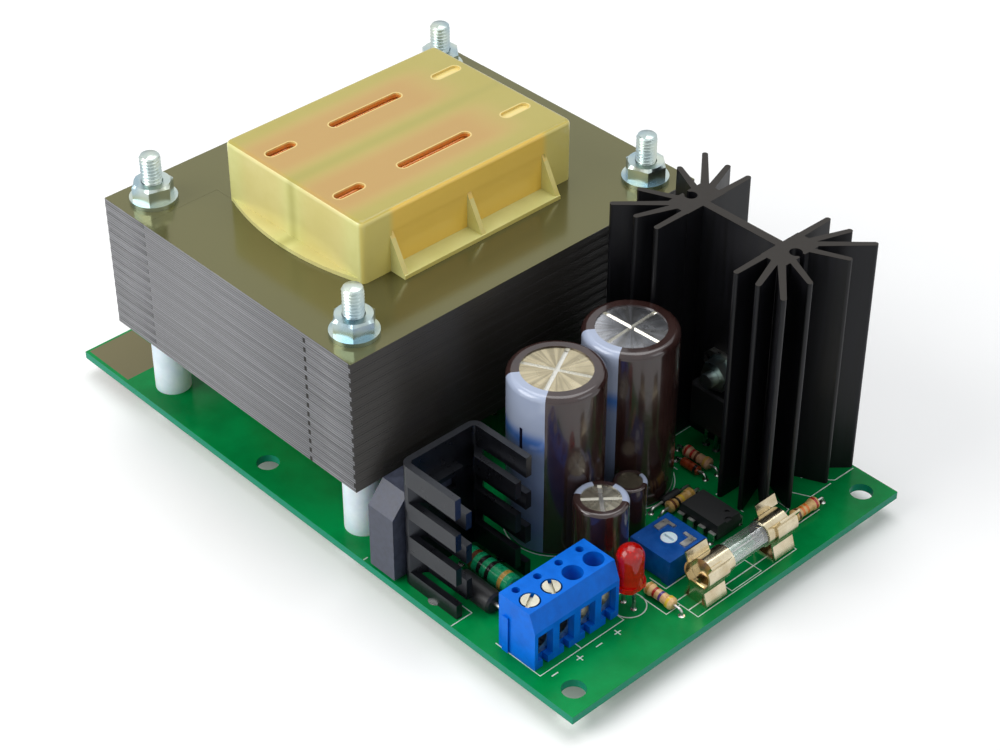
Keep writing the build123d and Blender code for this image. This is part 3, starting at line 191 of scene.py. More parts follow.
def new_material(
    name, dark, light, rough, grain, bump_height, metallic=0.0, stretch=(1, 1, 1), detail=5.0
):
    """A principled material whose colour, roughness and bump follow one noise."""
    material = bpy.data.materials.new(name)
    material.use_nodes = True
    tree = material.node_tree
    surface = tree.nodes["Principled BSDF"]
    surface.inputs["Metallic"].default_value = metallic
    where = add_node(tree, "ShaderNodeTexCoord", name="where").outputs["Object"]
    mapping = add_node(tree, "ShaderNodeMapping", {"Vector": where, "Scale": stretch})
    grain_links = {"Vector": mapping.outputs[0], "Scale": 1.0 / grain}
    noise = add_node(
        tree, "ShaderNodeTexNoise", {**grain_links, "Detail": detail, "Roughness": 0.62}
    ).outputs["Fac"]
    blend = ranged(tree, noise, 0.35, 0.65)
    # sockets 0, 6 and 7 of a colour mix are its factor and its two colours
    tone = add_node(tree, "ShaderNodeMix", {0: blend, 6: dark, 7: light}, data_type="RGBA")
    relief = add_node(
        tree, "ShaderNodeBump", {"Strength": 1.0, "Distance": bump_height, "Height": noise}
    )
    tree.links.new(tone.outputs[2], surface.inputs["Base Color"])
    tree.links.new(ranged(tree, noise, 0.3, 0.7, *rough), surface.inputs["Roughness"])
    tree.links.new(relief.outputs["Normal"], surface.inputs["Normal"])
    return material


print("display grey 128 is", round(srgb(128, 128, 128)[0], 3), "in a shader")

# %% [markdown]
# ## Plastics
# The chip, the transistor and the diodes are matt moulded epoxy. The terminals and the
# trimmer are dyed through and a little glossier, and the spacers are white and let some
# light in. They could share one plastic with a tint each, but their gloss and grain tell
# them apart on a real board as much as their colour, so each has a row of its own.


# %% Plastics
def settings(material, **values):
    """Sets plain inputs of the surface, named with underscores for spaces."""
    surface = material.node_tree.nodes["Principled BSDF"]
    for name, value in values.items():
        surface.inputs[name.replace("_", " ")].default_value = value
    return material


def dress(material, *names):
    """Gives one material to several CAD nodes."""
    for name in names:
        data = nodes[name].data
        data.materials.clear()
        data.materials.append(material)


# two tones, the range of roughness, grain and bump in mm, other inputs, and what wears it
plastics = {
    "black moulding": (
        (12, 13, 14), (21, 22, 24), (0.42, 0.56), 0.6, 0.008, {},
        ["control_chip_body", "power_transistor_body", "power_diode", "small_diode"],
    ),
    "bridge moulding": (
        (48, 52, 66), (64, 69, 86), (0.36, 0.48), 1.2, 0.008, {}, ["bridge_rectifier"],
    ),
    "terminal blue": (
        (0, 98, 204), (0, 110, 222), (0.32, 0.44), 2.5, 0.006, {"Specular_IOR_Level": 0.14},
        ["terminal_housing_1", "terminal_housing_2"],
    ),
    "trimmer blue": (
        (2, 66, 140), (8, 80, 160), (0.18, 0.28), 2.5, 0.006, {"Specular_IOR_Level": 0.4},
        ["trimmer_body"],
    ),
    "white nylon": (
        (216, 232, 242), (230, 242, 249), (0.38, 0.50), 3.0, 0.008,
        {"Subsurface_Weight": 0.25, "Subsurface_Scale": 2 * MM},
        ["trimmer_rotor", "transformer_spacers"],
    ),
    "former nylon": (
        (196, 176, 108), (216, 198, 134), (0.35, 0.5), 3.0, 0.02, {}, ["coil_former"],
    ),
}
for name, (dark, light, rough, grain, bump, extra, worn_by) in plastics.items():
    plastic = new_material(name, srgb(*dark), srgb(*light), rough, grain * MM, bump * MM)
    dress(settings(plastic, **extra), *worn_by)
print("plastics", list(plastics))

# %% [markdown]
# ## Masks
# Bands, stripes, cut edges and slots are places where a finish changes. Each could get
# faces of its own or be painted by hand. Here each is a mask that is worked out from where
# a point is, such as between two heights, so it stays sharp at any distance, costs no
# geometry, and sits exactly where the CAD model has the edge.


# %% Where a point is
def axis_value(material, axis, source="Object"):
    """The X, Y or Z of a point on the piece, as a shader value."""
    tree = material.node_tree
    where = tree.nodes["where"].outputs[source]
    return add_node(tree, "ShaderNodeSeparateXYZ", {0: where}).outputs[axis]


def facing_value(material, axis):
    """The X, Y or Z of the surface's own normal, as a shader value."""
    return axis_value(material, axis, "Normal")


print("the board lies from", round(board_bottom / MM, 2), "to", round(board_top / MM, 2), "mm")


# %% Masks
def calculate(material, operation, first, second=0.0):
    """One math node in a material."""
    return tree_math(material.node_tree, operation, first, second)


def both(material, first, second):
    """A mask that is one only where two masks are one."""
    return calculate(material, "MULTIPLY", first, second)


def between(material, value, low, high, soft=0.0):
    """One inside the range low to high and nought outside it, with an optional soft edge."""
    if soft == 0.0:
        above = calculate(material, "GREATER_THAN", value, low)
        return both(material, above, calculate(material, "LESS_THAN", value, high))
    ease = {"interpolation_type": "SMOOTHSTEP"}
    rise = ranged(material.node_tree, value, low - soft, low + soft, **ease)
    fall = ranged(material.node_tree, value, high + soft, high - soft, **ease)
    return both(material, rise, fall)


print("materials so far", len(bpy.data.materials))


# %% Finishes laid over a mask
def lay_over(material, mask, colour, strength=1.0):
    """Lays a colour over the base colour wherever the mask is one."""
    tree = material.node_tree
    target = tree.nodes["Principled BSDF"].inputs["Base Color"]
    links = {0: calculate(material, "MULTIPLY", mask, strength), 6: target.links[0].from_socket}
    mix = add_node(tree, "ShaderNodeMix", {**links, 7: colour}, data_type="RGBA")
    tree.links.new(mix.outputs[2], target)


def change_input(material, name, mask, value):
    """Sets another surface input to a value wherever the mask is one."""
    tree = material.node_tree
    target = tree.nodes["Principled BSDF"].inputs[name]
    before = target.links[0].from_socket if target.links else target.default_value
    mix = add_node(tree, "ShaderNodeMix", {0: mask, 2: before, 3: value})
    tree.links.new(mix.outputs[0], target)


print("board", round((board_top - board_bottom) / MM, 2), "mm thick")

# %% [markdown]
# ## The clear yellow covers
# The covers are thin moulded caps over the windings. The copper behind them warms their
# tops. Light that passes through the thin wall brightens the side towards the parts and the
# panel between the gussets, and the former's middle flange casts a dull shadow line. Light
# could be sent through the plastic, but that is noisy and slow in so thin a wall. So the
# colour carries it: soft warm fields over the boxes of the two windings, a painted glow on
# that side and that panel, painted shade over the whole top, a painted shadow line at the
# flange, and a coat for the gloss.

# %% Fields of the covers
cover_yellow = new_material(
    "cover yellow", srgb(212, 209, 134), srgb(224, 222, 154), (0.16, 0.26), 16.0 * MM, 0.01 * MM
)
settings(cover_yellow, IOR=1.46, Coat_Weight=0.25, Coat_Roughness=0.12)
cover_x, cover_y, cover_z = (axis_value(cover_yellow, axis) for axis in "XYZ")
in_cover = partial(between, cover_yellow)
core_low, core_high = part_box("core_e_laminations")
core_centre = (core_low + core_high) / 2
cover_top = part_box("upper_coil_cover")[1].z
on_top = in_cover(cover_z, cover_top - 0.3 * MM, cover_top + MM)
# painted shade: the whole top face is laid over with a darker, deeper yellow than the sides
lay_over(cover_yellow, on_top, srgb(162, 146, 52), 0.85)

panel_half = 18.5 * MM
cover_half_x = 19.3 * MM
# painted light: the side towards the parts gets a warmer, brighter tone, as if lit through the wall
lit_through_side = in_cover(facing_value(cover_yellow, "X"), 0.5, 2.0, 0.2)
lay_over(cover_yellow, lit_through_side, srgb(226, 200, 96), 0.6)
# painted light: a stronger glow on the panel between the gussets
panel = both(cover_yellow, lit_through_side, in_cover(cover_y, -panel_half, panel_half, 1.0 * MM))
panel = both(cover_yellow, panel, in_cover(cover_x, -1.0, core_centre.x + cover_half_x))
lay_over(cover_yellow, panel, srgb(252, 204, 84), 0.75)

copper_start, copper_end = -28 * MM, 15 * MM
for node_name in ("primary_winding", "secondary_winding"):
    low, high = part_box(node_name)
    across = in_cover(cover_x, low.x + 2 * MM, high.x - 2 * MM, 2.5 * MM)
    along = in_cover(cover_y, copper_start, copper_end, 6 * MM)
    copper_behind = both(cover_yellow, across, along)
    lay_over(cover_yellow, copper_behind, srgb(226, 196, 132), 0.4)
    lay_over(cover_yellow, both(cover_yellow, copper_behind, on_top), srgb(176, 124, 60), 0.6)

divider_x = (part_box("primary_winding")[1].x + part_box("secondary_winding")[0].x) / 2
divider_half = 0.9 * MM
# painted shadow: a darker line where the former's middle flange stands behind the wall
divider = in_cover(cover_x, divider_x - divider_half, divider_x + divider_half, 1.0 * MM)
lay_over(cover_yellow, divider, srgb(160, 152, 70), 0.45)
print("divider at", round(divider_x / MM, 1), "mm")

# %% [markdown]
# The rounded rims of the slots in the cover's top get a painted highlight, and the walls of
# all but the far two get the painted orange light that the copper throws on them. The rims
# could be pieces of their own, but a slot is just a short line with a round end at each
# side. So one distance from that line gives the rim and the wall all the way round, also
# at the ends.

# %% Slots of the covers
slot_radius = 1.0 * MM
slot_offset = 9.5 * MM
slot_places = ((0.0, 17 * MM), (-20 * MM, 6.5 * MM), (20 * MM, 6.5 * MM))


def away_from_slot(material, x, y, slot_long):
    """How far a point is from the middle line of a slot along Y, given its x and y to it."""
    work = partial(calculate, material)
    off_y = work("ABSOLUTE", y)
    past_end = work("MAXIMUM", work("SUBTRACT", off_y, slot_long / 2 - slot_radius))
    squares = work("ADD", work("MULTIPLY", x, x), work("MULTIPLY", past_end, past_end))
    return work("SQRT", squares)


below_top = in_cover(cover_z, -1.0, cover_top - 0.35 * MM, 0.1 * MM)
for slot_x in (core_centre.x - slot_offset, core_centre.x + slot_offset):
    for slot_y, slot_long in slot_places:
        off_x = calculate(cover_yellow, "SUBTRACT", cover_x, slot_x)
        off_y = calculate(cover_yellow, "SUBTRACT", cover_y, slot_y)
        away = away_from_slot(cover_yellow, off_x, off_y, slot_long)
        # painted highlight on the rounded rim round each slot
        rim = in_cover(away, 0.0, slot_radius + 0.25 * MM, 0.1 * MM)
        lay_over(cover_yellow, rim, srgb(232, 208, 132), 0.8)
        if slot_y <= 0.0:
            # painted light: the walls of the open slots take the orange that the lit copper throws
            # on them
            inside = in_cover(away, -1.0, slot_radius + 0.06 * MM)
            lay_over(cover_yellow, both(cover_yellow, inside, below_top), srgb(206, 128, 46), 0.85)
dress(cover_yellow, "upper_coil_cover", "lower_coil_cover")
print("slots", 2 * len(slot_places))

# %% [markdown]
# ## Metals
# Leads, pins and clamps are tinned, bolts and nuts are zinc plated with a faint rainbow,
# the terminal screws are nickel, and the fuse's clips and caps are pale brass. All are
# metallic, where the base colour is the colour of the reflection. What sets them apart is
# that tint and how sharp the reflection is, so each gets its own of both.

# %% Plated metals
tinned_nodes = [
    "bridge_rectifier_leads", "capacitor_leads", "coil_pins", "control_chip_pins",
    "indicator_leads", "power_transistor_leads", "power_transistor_tab", "tall_heatsink_pins",
    "trimmer_contacts", "trimmer_pins", "lying_part_leads", "fuse_wire", "terminal_clamps",
]
zinc_nodes = [
    "transformer_nuts", "transformer_washers", "transformer_bolts", "transistor_nut",
    "transistor_screw", "transistor_washer",
]
screw_nodes = [f"terminal_screw_{number}" for number in (1, 2, 3, 4)]
# two tones, the range of roughness, grain and bump in mm, noise detail, and what wears it
metals = {
    "tinned": ((168, 168, 164), (200, 200, 196), (0.24, 0.36), 1.5, 0.002, 5.0, tinned_nodes),
    "zinc": ((160, 182, 190), (200, 208, 196), (0.26, 0.34), 6.0, 0.001, 1.0, zinc_nodes),
    "nickel": ((188, 184, 164), (208, 204, 186), (0.36, 0.46), 2.0, 0.001, 5.0, screw_nodes),
    "clip metal": (
        (198, 182, 148), (224, 212, 184), (0.16, 0.24), 4.0, 0.001, 5.0, ["fuse_clips", "fuse_caps"],
    ),
}
plated = {}
for name, (dark, light, rough, grain, bump, detail, worn_by) in metals.items():
    plated[name] = new_material(
        name, srgb(*dark), srgb(*light), rough, grain * MM, bump * MM, 1.0, detail=detail
    )
    dress(plated[name], *worn_by)
zinc = plated["zinc"]
print("metals", list(plated))

# %% [markdown]
# ## Heatsinks
# The tall heatsink is drawn through a die and dyed black, so its grain runs up the fins,
# and where it was sawn off the dye looks browner. The noise is stretched along Z for the
# grain, and a mask on the height gives the sawn top. The small one is stamped from sheet,
# which is smoother and mirrors a little blue.

# %% Black aluminium
anodised = new_material(
    "black anodised", srgb(12, 12, 14), srgb(19, 19, 24), (0.36, 0.46), 1.2 * MM, 0.004 * MM,
    0.2, stretch=(1, 1, 0.04),
)
sink_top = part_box("tall_heatsink")[1].z
cut_top = between(anodised, axis_value(anodised, "Z"), sink_top - 0.05 * MM, 1.0)
lay_over(anodised, cut_top, srgb(27, 20, 11))
dress(settings(anodised, Specular_IOR_Level=0.35), "tall_heatsink")

folded = new_material(
    "black folded sheet", srgb(9, 9, 12), srgb(15, 16, 20), (0.26, 0.34), 2.5 * MM, 0.004 * MM
)
dress(settings(folded, Specular_Tint=(0.82, 0.88, 1.0, 1.0)), "small_heatsink")
print("tall heatsink's sawn top at", round(sink_top / MM, 1), "mm")

# %% [markdown]
# ## Glass and lamp
# The fuse's tube is thin clear glass: seen straight on it all but vanishes, and towards
# its outline it mirrors. Bent light through two close walls is noisy, so Layer Weight
# makes the wall clear where it faces the eye and solid where it turns away. The lamp is
# solid tinted resin, so it does let light through.

# %% Glass and lamp
glass = new_material(
    "fuse glass", srgb(240, 246, 244), srgb(250, 253, 252), (0.0, 0.02), 6.0 * MM, 0.0002 * MM
)
tree = glass.node_tree
turning_away = add_node(tree, "ShaderNodeLayerWeight", {"Blend": 0.32}).outputs["Facing"]
wall_shown = ranged(tree, turning_away, 0.0, 1.0, start=0.04, end=0.95)
tree.links.new(wall_shown, tree.nodes["Principled BSDF"].inputs["Alpha"])
dress(settings(glass, Metallic=0.9), "fuse_glass")

lamp_red = new_material(
    "lamp red", srgb(214, 12, 6), srgb(232, 26, 12), (0.04, 0.08), 2.5 * MM, 0.001 * MM
)
dress(settings(lamp_red, Transmission_Weight=0.6), "indicator_lens")
print("clear finishes", glass.name, "and", lamp_red.name)

# %% [markdown]
# ## Capacitor sleeves
# A capacitor is a can in a shrunk plastic sleeve, dark brown with a pale stripe that marks
# its minus side. On the two large ones the stripe has a blue band and a dash. The stripe
# runs straight up whatever the can's size, so it is a range of the angle round the can,
# and what lies on it is a range of the height.


# %% Sleeves
def angle_round(material, centre, facing):
    """The angle of a point round a vertical axis, nought where it faces the given way."""
    work = partial(calculate, material)
    x = work("SUBTRACT", axis_value(material, "X"), centre.x)
    y = work("SUBTRACT", axis_value(material, "Y"), centre.y)
    cosine, sine = math.cos(math.radians(facing)), math.sin(math.radians(facing))
    forward = work("ADD", work("MULTIPLY", x, cosine), work("MULTIPLY", y, sine))
    sideways = work("SUBTRACT", work("MULTIPLY", y, cosine), work("MULTIPLY", x, sine))
    return work("ARCTAN2", sideways, forward)


# each stripe's heading and half width in degrees
stripes = {1: [(-91, 34)], 2: [(-93, 33)], 3: [(184, 28), (68, 34)], 4: [(60, 29)]}
large_cans = (1, 2)
for number, places in stripes.items():
    low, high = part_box(f"capacitor_{number}_sleeve")
    sleeve = new_material(
        f"sleeve {number}", srgb(42, 25, 23), srgb(54, 35, 32), (0.16, 0.24), 5 * MM, 0.006 * MM
    )
    share_up = calculate(sleeve, "SUBTRACT", axis_value(sleeve, "Z"), low.z)
    share_up = calculate(sleeve, "DIVIDE", share_up, high.z - low.z)
    for facing, half_width in places:
        angle = angle_round(sleeve, (low + high) / 2, facing)
        half = math.radians(half_width)
        stripe = between(sleeve, angle, -half, half)
        lay_over(sleeve, stripe, srgb(164, 175, 199))
        if number not in large_cans:
            continue
        shaded = between(sleeve, share_up, -1.0, 0.73, 0.03)
        lay_over(sleeve, both(sleeve, stripe, shaded), srgb(112, 128, 160), 0.85)
        blue = between(sleeve, share_up, 0.66, 0.74, 0.05)
        lay_over(sleeve, both(sleeve, stripe, blue), srgb(40, 104, 186), 0.8)
        dash = between(sleeve, angle, math.radians(1.8), math.radians(6.2))
        dash = both(sleeve, dash, between(sleeve, share_up, 0.62, 0.77))
        lay_over(sleeve, dash, srgb(24, 26, 46))
    dress(settings(sleeve, Coat_Weight=0.5, Coat_Roughness=0.06), f"capacitor_{number}_sleeve")
print("sleeves", list(stripes))

# %% [markdown]
# ## Can tops
# The bare top of a can is drawn aluminium with a cross pressed into it, so that it can
# vent. Its fine marks run round in circles, and such a face mirrors light in streaks that
# run outwards. An uneven reflection could make them, but it would hide them from most
# sides. A noise that reads nothing but the angle round the can paints them as darker
# streaks for every side. The cross is found by its height, because it lies a little lower
# than the rest, and gets a painted highlight.

# %% Can tops
can_tones = {1: (204, 192, 162), 2: (196, 198, 204), 3: (206, 200, 180), 4: (170, 162, 140)}
for number, tone in can_tones.items():
    low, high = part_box(f"capacitor_{number}_can")
    darker = srgb(*(value - 14 for value in tone))
    can_metal = new_material(
        f"can metal {number}", darker, srgb(*tone), (0.22, 0.30), 4.0 * MM, 0.001 * MM, 1.0,
        detail=2.0,
    )
    streaks = add_node(
        can_metal.node_tree, "ShaderNodeTexNoise", noise_dimensions="1D",
        links={"W": angle_round(can_metal, (low + high) / 2, 0), "Scale": 3.0, "Detail": 4.0},
    )
    # painted reflection: darker streaks that run outwards from the middle
    reflection_streak = between(can_metal, streaks.outputs["Fac"], 0.5, 2.0, 0.12)
    lay_over(can_metal, reflection_streak, srgb(104, 98, 82), 0.45)
    height = axis_value(can_metal, "Z")
    # painted highlight: the pressed cross is laid over brighter than the rest of the top
    pressed = between(can_metal, height, high.z - 0.5 * MM, high.z - 0.05 * MM)
    lay_over(can_metal, pressed, srgb(222, 220, 212))
    dress(can_metal, f"capacitor_{number}_can")
print("cans", len(can_tones))

# %% [markdown]
# ## Resistors and diodes
# Small parts lie on the board in lacquered bodies, and painted bands give their values. A
# band is a range along the body's own axis. Four small resistors share one CAD node,
# because parts of a kind are one file there, so each face takes the material of the
# resistor it lies on.


# %% Banded bodies
def banded(name, dark, light, centre, axis, bands, width):
    """A lacquered body with coloured bands at the given places along its axis."""
    material = new_material(name, dark, light, (0.22, 0.36), 0.8 * MM, 0.02 * MM)
    along = axis_value(material, axis)
    for place, colour in bands:
        middle = centre + place * MM
        lay_over(material, between(material, along, middle - width / 2, middle + width / 2), colour)
    return settings(material, Coat_Weight=0.3, Coat_Roughness=0.2)


brown, black, red = srgb(92, 48, 24), srgb(24, 20, 20), srgb(178, 36, 30)
orange, yellow, violet = srgb(226, 120, 36), srgb(226, 190, 50), srgb(92, 62, 140)
gold = srgb(190, 150, 70)
# name, place on the board in mm, the axis it lies along, two tones, and its bands
small_places = [
    ("small resistor by the chip", (44.2, 10.0), "Y", srgb(196, 152, 84), srgb(216, 176, 108),
     [(-2.3, brown), (-1.0, black), (0.1, yellow), (2.3, gold)]),
    ("small resistor by the fins", (37.9, 21.4), "X", srgb(188, 142, 108), srgb(208, 164, 128),
     [(-2.3, red), (-1.0, red), (0.1, brown), (2.3, gold)]),
    ("small resistor by the lamp", (59.4, -11.15), "X", srgb(226, 180, 118), srgb(242, 200, 142),
     [(-2.4, gold), (-1.0, red), (0.4, violet), (2.3, yellow)]),
    ("small resistor by the fuse", (61.4, 24.6), "Y", srgb(204, 160, 96), srgb(226, 184, 122),
     [(-2.3, brown), (-1.0, orange), (0.1, orange), (2.3, red)]),
]
resistors = nodes["small_resistors"].data
resistors.materials.clear()
for name, (x, y), axis, dark, light, bands in small_places:
    centre = (x if axis == "X" else y) * MM
    resistors.materials.append(banded(name, dark, light, centre, axis, bands, 0.55 * MM))
for face in resistors.polygons:
    distances = [
        math.dist(face.center[:2], (place[0] * MM, place[1] * MM)) for _, place, *_ in small_places
    ]
    face.material_index = distances.index(min(distances))

single_bodies = {
    "power_resistor": (
        "green cement", srgb(8, 138, 88), srgb(22, 168, 110),
        [(-3.6, brown), (-1.5, black), (0.6, black), (3.8, gold)], 0.9 * MM,
    ),
    "glass_diode": ("orange glass", srgb(124, 44, 18), srgb(156, 66, 28), [(1.4, black)], 0.6 * MM),
}
for node_name, (name, dark, light, bands, width) in single_bodies.items():
    low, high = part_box(node_name)
    dress(banded(name, dark, light, (low.x + high.x) / 2, "X", bands, width), node_name)
print("banded bodies", len(small_places) + len(single_bodies))

# %% [markdown]
# ## The board
# The board is glass-fibre laminate under a glossy green mask. Its sawn edge shows the
# paler laminate, and a field in one corner has no mask. Both could be pieces of their own,
# but they are only a colour on the same plate, so masks on the height and on X and Y do.

# %% Board
board = new_material(
    "solder mask", srgb(0, 118, 56), srgb(0, 142, 72), (0.18, 0.26), 12.0 * MM, 0.002 * MM
)
skin = 0.03 * MM
edge = between(board, axis_value(board, "Z"), board_bottom + skin, board_top - skin)
lay_over(board, edge, srgb(10, 136, 104))
bare_x, bare_y = (-68.5 * MM, -55.7 * MM), (-41.3 * MM, -31.0 * MM)
bare_across = between(board, axis_value(board, "X"), *bare_x)
bare_along = between(board, axis_value(board, "Y"), *bare_y)
lay_over(board, both(board, bare_across, bare_along), srgb(112, 106, 78))
dress(settings(board, Specular_IOR_Level=0.12), "circuit_board")
print("bare field", [round((end - start) / MM, 1) for start, end in (bare_x, bare_y)], "mm")

# %% [markdown]
# ## Floor
# The object stands on a pale sheet that fades to white. More light on the sheet would
# burn out the object too, so only what the camera sees of it is lifted, the more the
# further it is from the object. Close by, it keeps its own tone and the soft shadow.

# %% Floor
floor_wide = 3.0
bpy.ops.mesh.primitive_plane_add(size=floor_wide, location=(0, 0, cad_box[0][2]))
floor = bpy.context.object
floor.name = "floor"
floor_sheet = new_material(
    "floor", srgb(236, 236, 236), srgb(242, 242, 242), (0.5, 0.6), 0.2, 0.01 * MM
)
tree = floor_sheet.node_tree
where = tree.nodes["where"].outputs["Object"]
far = add_node(tree, "ShaderNodeVectorMath", {0: where}, operation="LENGTH").outputs["Value"]
near_edge, white_from, near_lift, far_lift = 0.15, 1.2, 0.12, 0.75
lift = ranged(tree, far, near_edge, white_from, near_lift, far_lift)
to_camera = add_node(tree, "ShaderNodeLightPath").outputs["Is Camera Ray"]
glow = tree.nodes["Principled BSDF"].inputs["Emission Strength"]
tree.links.new(both(floor_sheet, to_camera, lift), glow)
floor.data.materials.append(settings(floor_sheet, Emission_Color=(1, 1, 1, 1)))
print("floor", floor_wide, "m wide")

# %% [markdown]
# ## Geometry Nodes
# Sheets, turns, threads, printed lines and solder all repeat one simple thing. Copying it
# in a Python loop would work, but the sizes would be buried in the loop. A node tree has
# them as named inputs and makes all copies at once. Each tree here runs on an object of
# its own, and its result is kept as a plain mesh, so that no modifier is left on a piece.


# %% Starting and ending a tree
def new_tree(name, inputs):
    """An empty geometry tree and its named inputs, each given as its kind of socket."""
    tree = bpy.data.node_groups.new(name, "GeometryNodeTree")
    for label, kind in {**inputs, "Material": "Material"}.items():
        tree.interface.new_socket(name=label, in_out="INPUT", socket_type="NodeSocket" + kind)
    tree.interface.new_socket(name="Geometry", in_out="OUTPUT", socket_type="NodeSocketGeometry")
    return tree, tree.nodes.new("NodeGroupInput").outputs


def finish_tree(tree, geometry, given):
    """Ends a tree with real geometry that carries the Material input."""
    real = add_node(tree, "GeometryNodeRealizeInstances", {0: geometry}).outputs[0]
    painted = {"Geometry": real, "Material": given["Material"]}
    painted = add_node(tree, "GeometryNodeSetMaterial", painted).outputs[0]
    tree.links.new(painted, tree.nodes.new("NodeGroupOutput").inputs[0])


# %% Running a tree and keeping its mesh
def plain_mesh(piece):
    """The mesh of an object as it stands after its modifiers."""
    bpy.context.view_layer.update()
    evaluated = piece.evaluated_get(bpy.context.evaluated_depsgraph_get())
    return bpy.data.meshes.new_from_object(evaluated)


def run_tree(name, tree, values, start=None):
    """Runs a tree with the given inputs and keeps the result as a plain mesh object."""
    piece = add_object(name, start or bpy.data.meshes.new(name))
    modifier = piece.modifiers.new("nodes", "NODES")
    modifier.node_group = tree
    for item in tree.interface.items_tree:
        if item.in_out == "INPUT" and item.name in values:
            modifier[item.identifier] = values[item.name]
    mesh = plain_mesh(piece)
    piece.modifiers.remove(modifier)
    piece.data = mesh
    mesh.name = name
    return piece


def smooth(piece, angle=30.0):
    """Smooth shading, with edges sharper than the angle left crisp."""
    mesh = bmesh.new()
    mesh.from_mesh(piece.data)
    bmesh.ops.recalc_face_normals(mesh, faces=mesh.faces)
    for face in mesh.faces:
        face.smooth = True
    for edge in mesh.edges:
        edge.smooth = edge.calc_face_angle(math.pi) < math.radians(angle)
    mesh.to_mesh(piece.data)
    mesh.free()


# %% [markdown]
# ## Core sheets
# The core is a stack of half-millimetre steel sheets. Each layer is one E and one I. The
# layers lie in pairs, and every second pair is turned end for end, so that it bridges the
# joints of the last. That gives ridged ends and a row of dots down the long side, which a
# picture of lines can't catch at a corner. So one E and one I are drawn flat, and a tree
# stacks them. The I is a hair short, and a hair of gap stays at the joint, because that
# is what shows.

# %% The outlines of one E and one I
sheet_pitch, sheet_thick = 0.5 * MM, 0.47 * MM
half_x, half_y = (core_high.x - core_low.x) / 2, (core_high.y - core_low.y) / 2
window_half, window_inner, window_outer = 18.8 * MM, 14.0 * MM, 25.2 * MM
joint_in, joint_gap, i_short = 12.0 * MM, 0.035 * MM, 0.03 * MM
bolt_x, bolt_y, bolt_hole = 28.5 * MM, 35.5 * MM, 2.25 * MM

e_end = half_x - joint_in - joint_gap
e_side = [
    (-half_x, half_y), (e_end, half_y), (e_end, window_outer), (-window_half, window_outer),
    (-window_half, window_inner), (window_half, window_inner),
]
e_outline = e_side + [(x, -y) for x, y in reversed(e_side)]
land_y = window_outer - joint_gap
i_side = [
    (half_x - i_short, half_y - i_short), (half_x - joint_in, half_y - i_short),
    (half_x - joint_in, land_y), (window_half, land_y),
]
i_outline = i_side + [(x, -y) for x, y in reversed(i_side)]
print("window", round(2 * window_half / MM, 1), "by", round((window_outer - window_inner) / MM, 1))


# %% A flat sheet
def ring_points(radius, count):
    """Points round a circle about the origin."""
    turns_of = [math.tau * i / count for i in range(count)]
    return [(math.cos(turn) * radius, math.sin(turn) * radius) for turn in turns_of]


def flat_sheet(name, outline, holes, hole_radius, thick):
    """A flat sheet with round holes, as a mesh object on the ground plane."""
    curve = bpy.data.curves.new(name, "CURVE")
    curve.dimensions = "2D"
    curve.fill_mode = "BOTH"
    curve.extrude = thick / 2
    circle = ring_points(hole_radius, 24)
    for ring in [outline] + [[(x + dx, y + dy) for dx, dy in circle] for x, y in holes]:
        spline = curve.splines.new("POLY")
        spline.points.add(len(ring) - 1)
        for point, (x, y) in zip(spline.points, ring):
            point.co = (x, y, 0, 1)
        spline.use_cyclic_u = True
    shape = add_object(name, curve)
    mesh = plain_mesh(shape)
    bpy.data.objects.remove(shape)
    return add_object(name, mesh)


e_sheet = flat_sheet(
    "e_sheet", e_outline, [(-bolt_x, -bolt_y), (-bolt_x, bolt_y)], bolt_hole, sheet_thick
)
i_sheet = flat_sheet(
    "i_sheet", i_outline, [(bolt_x, -bolt_y), (bolt_x, bolt_y)], bolt_hole, sheet_thick
)
print("one E", len(e_sheet.data.polygons), "faces, one I", len(i_sheet.data.polygons))

# %% The stacking tree
stack, given = new_tree("stacked sheets", {
    "Sheet": "Object", "Count": "Int", "First": "Vector", "Pitch": "Float",
    "Sheets turned together": "Float",
})
work = partial(tree_math, stack)
rise = add_node(stack, "ShaderNodeCombineXYZ", {"Z": given["Pitch"]}).outputs[0]
line = add_node(stack, "GeometryNodeMeshLine", {
    "Count": given["Count"], "Start Location": given["First"], "Offset": rise,
}).outputs[0]
index = add_node(stack, "GeometryNodeInputIndex").outputs[0]
group = work("FLOOR", work("DIVIDE", index, given["Sheets turned together"]))
turned = work("MULTIPLY", work("MODULO", group, 2.0), math.pi)
turn = add_node(stack, "ShaderNodeCombineXYZ", {"Z": turned}).outputs[0]
one_sheet = add_node(stack, "GeometryNodeObjectInfo", {"Object": given["Sheet"]})
placed = add_node(stack, "GeometryNodeInstanceOnPoints", {
    "Points": line, "Instance": one_sheet.outputs["Geometry"], "Rotation": turn,
}).outputs[0]
finish_tree(stack, placed, given)
print("tree", stack.name, len(stack.nodes), "nodes")

# %% [markdown]
# The sheets are silicon steel with a thin varnish. No two are quite as bright, the gaps
# between them are dark, the cut ends that face the parts get painted shade, nearly black,
# since they face away from the lamps and mirror the dark parts, and the top sheet is
# varnished olive and glossy. A random number for each sheet's level gives the first, and
# masks on the level, the facing and the height give the rest.

# %% Core steel
core_steel = new_material(
    "core steel", srgb(134, 135, 138), srgb(150, 150, 154), (0.40, 0.50), 4.0 * MM, 0.002 * MM,
    0.6, stretch=(0.12, 0.12, 8),
)
work = partial(calculate, core_steel)
core_z = axis_value(core_steel, "Z")
sheets_up = work("DIVIDE", work("SUBTRACT", core_z, core_low.z), sheet_pitch)
each_sheet = add_node(
    core_steel.node_tree, "ShaderNodeTexWhiteNoise", noise_dimensions="1D",
    links={"W": work("FLOOR", sheets_up)},
)
lay_over(core_steel, each_sheet.outputs["Value"], srgb(88, 87, 86), 0.35)
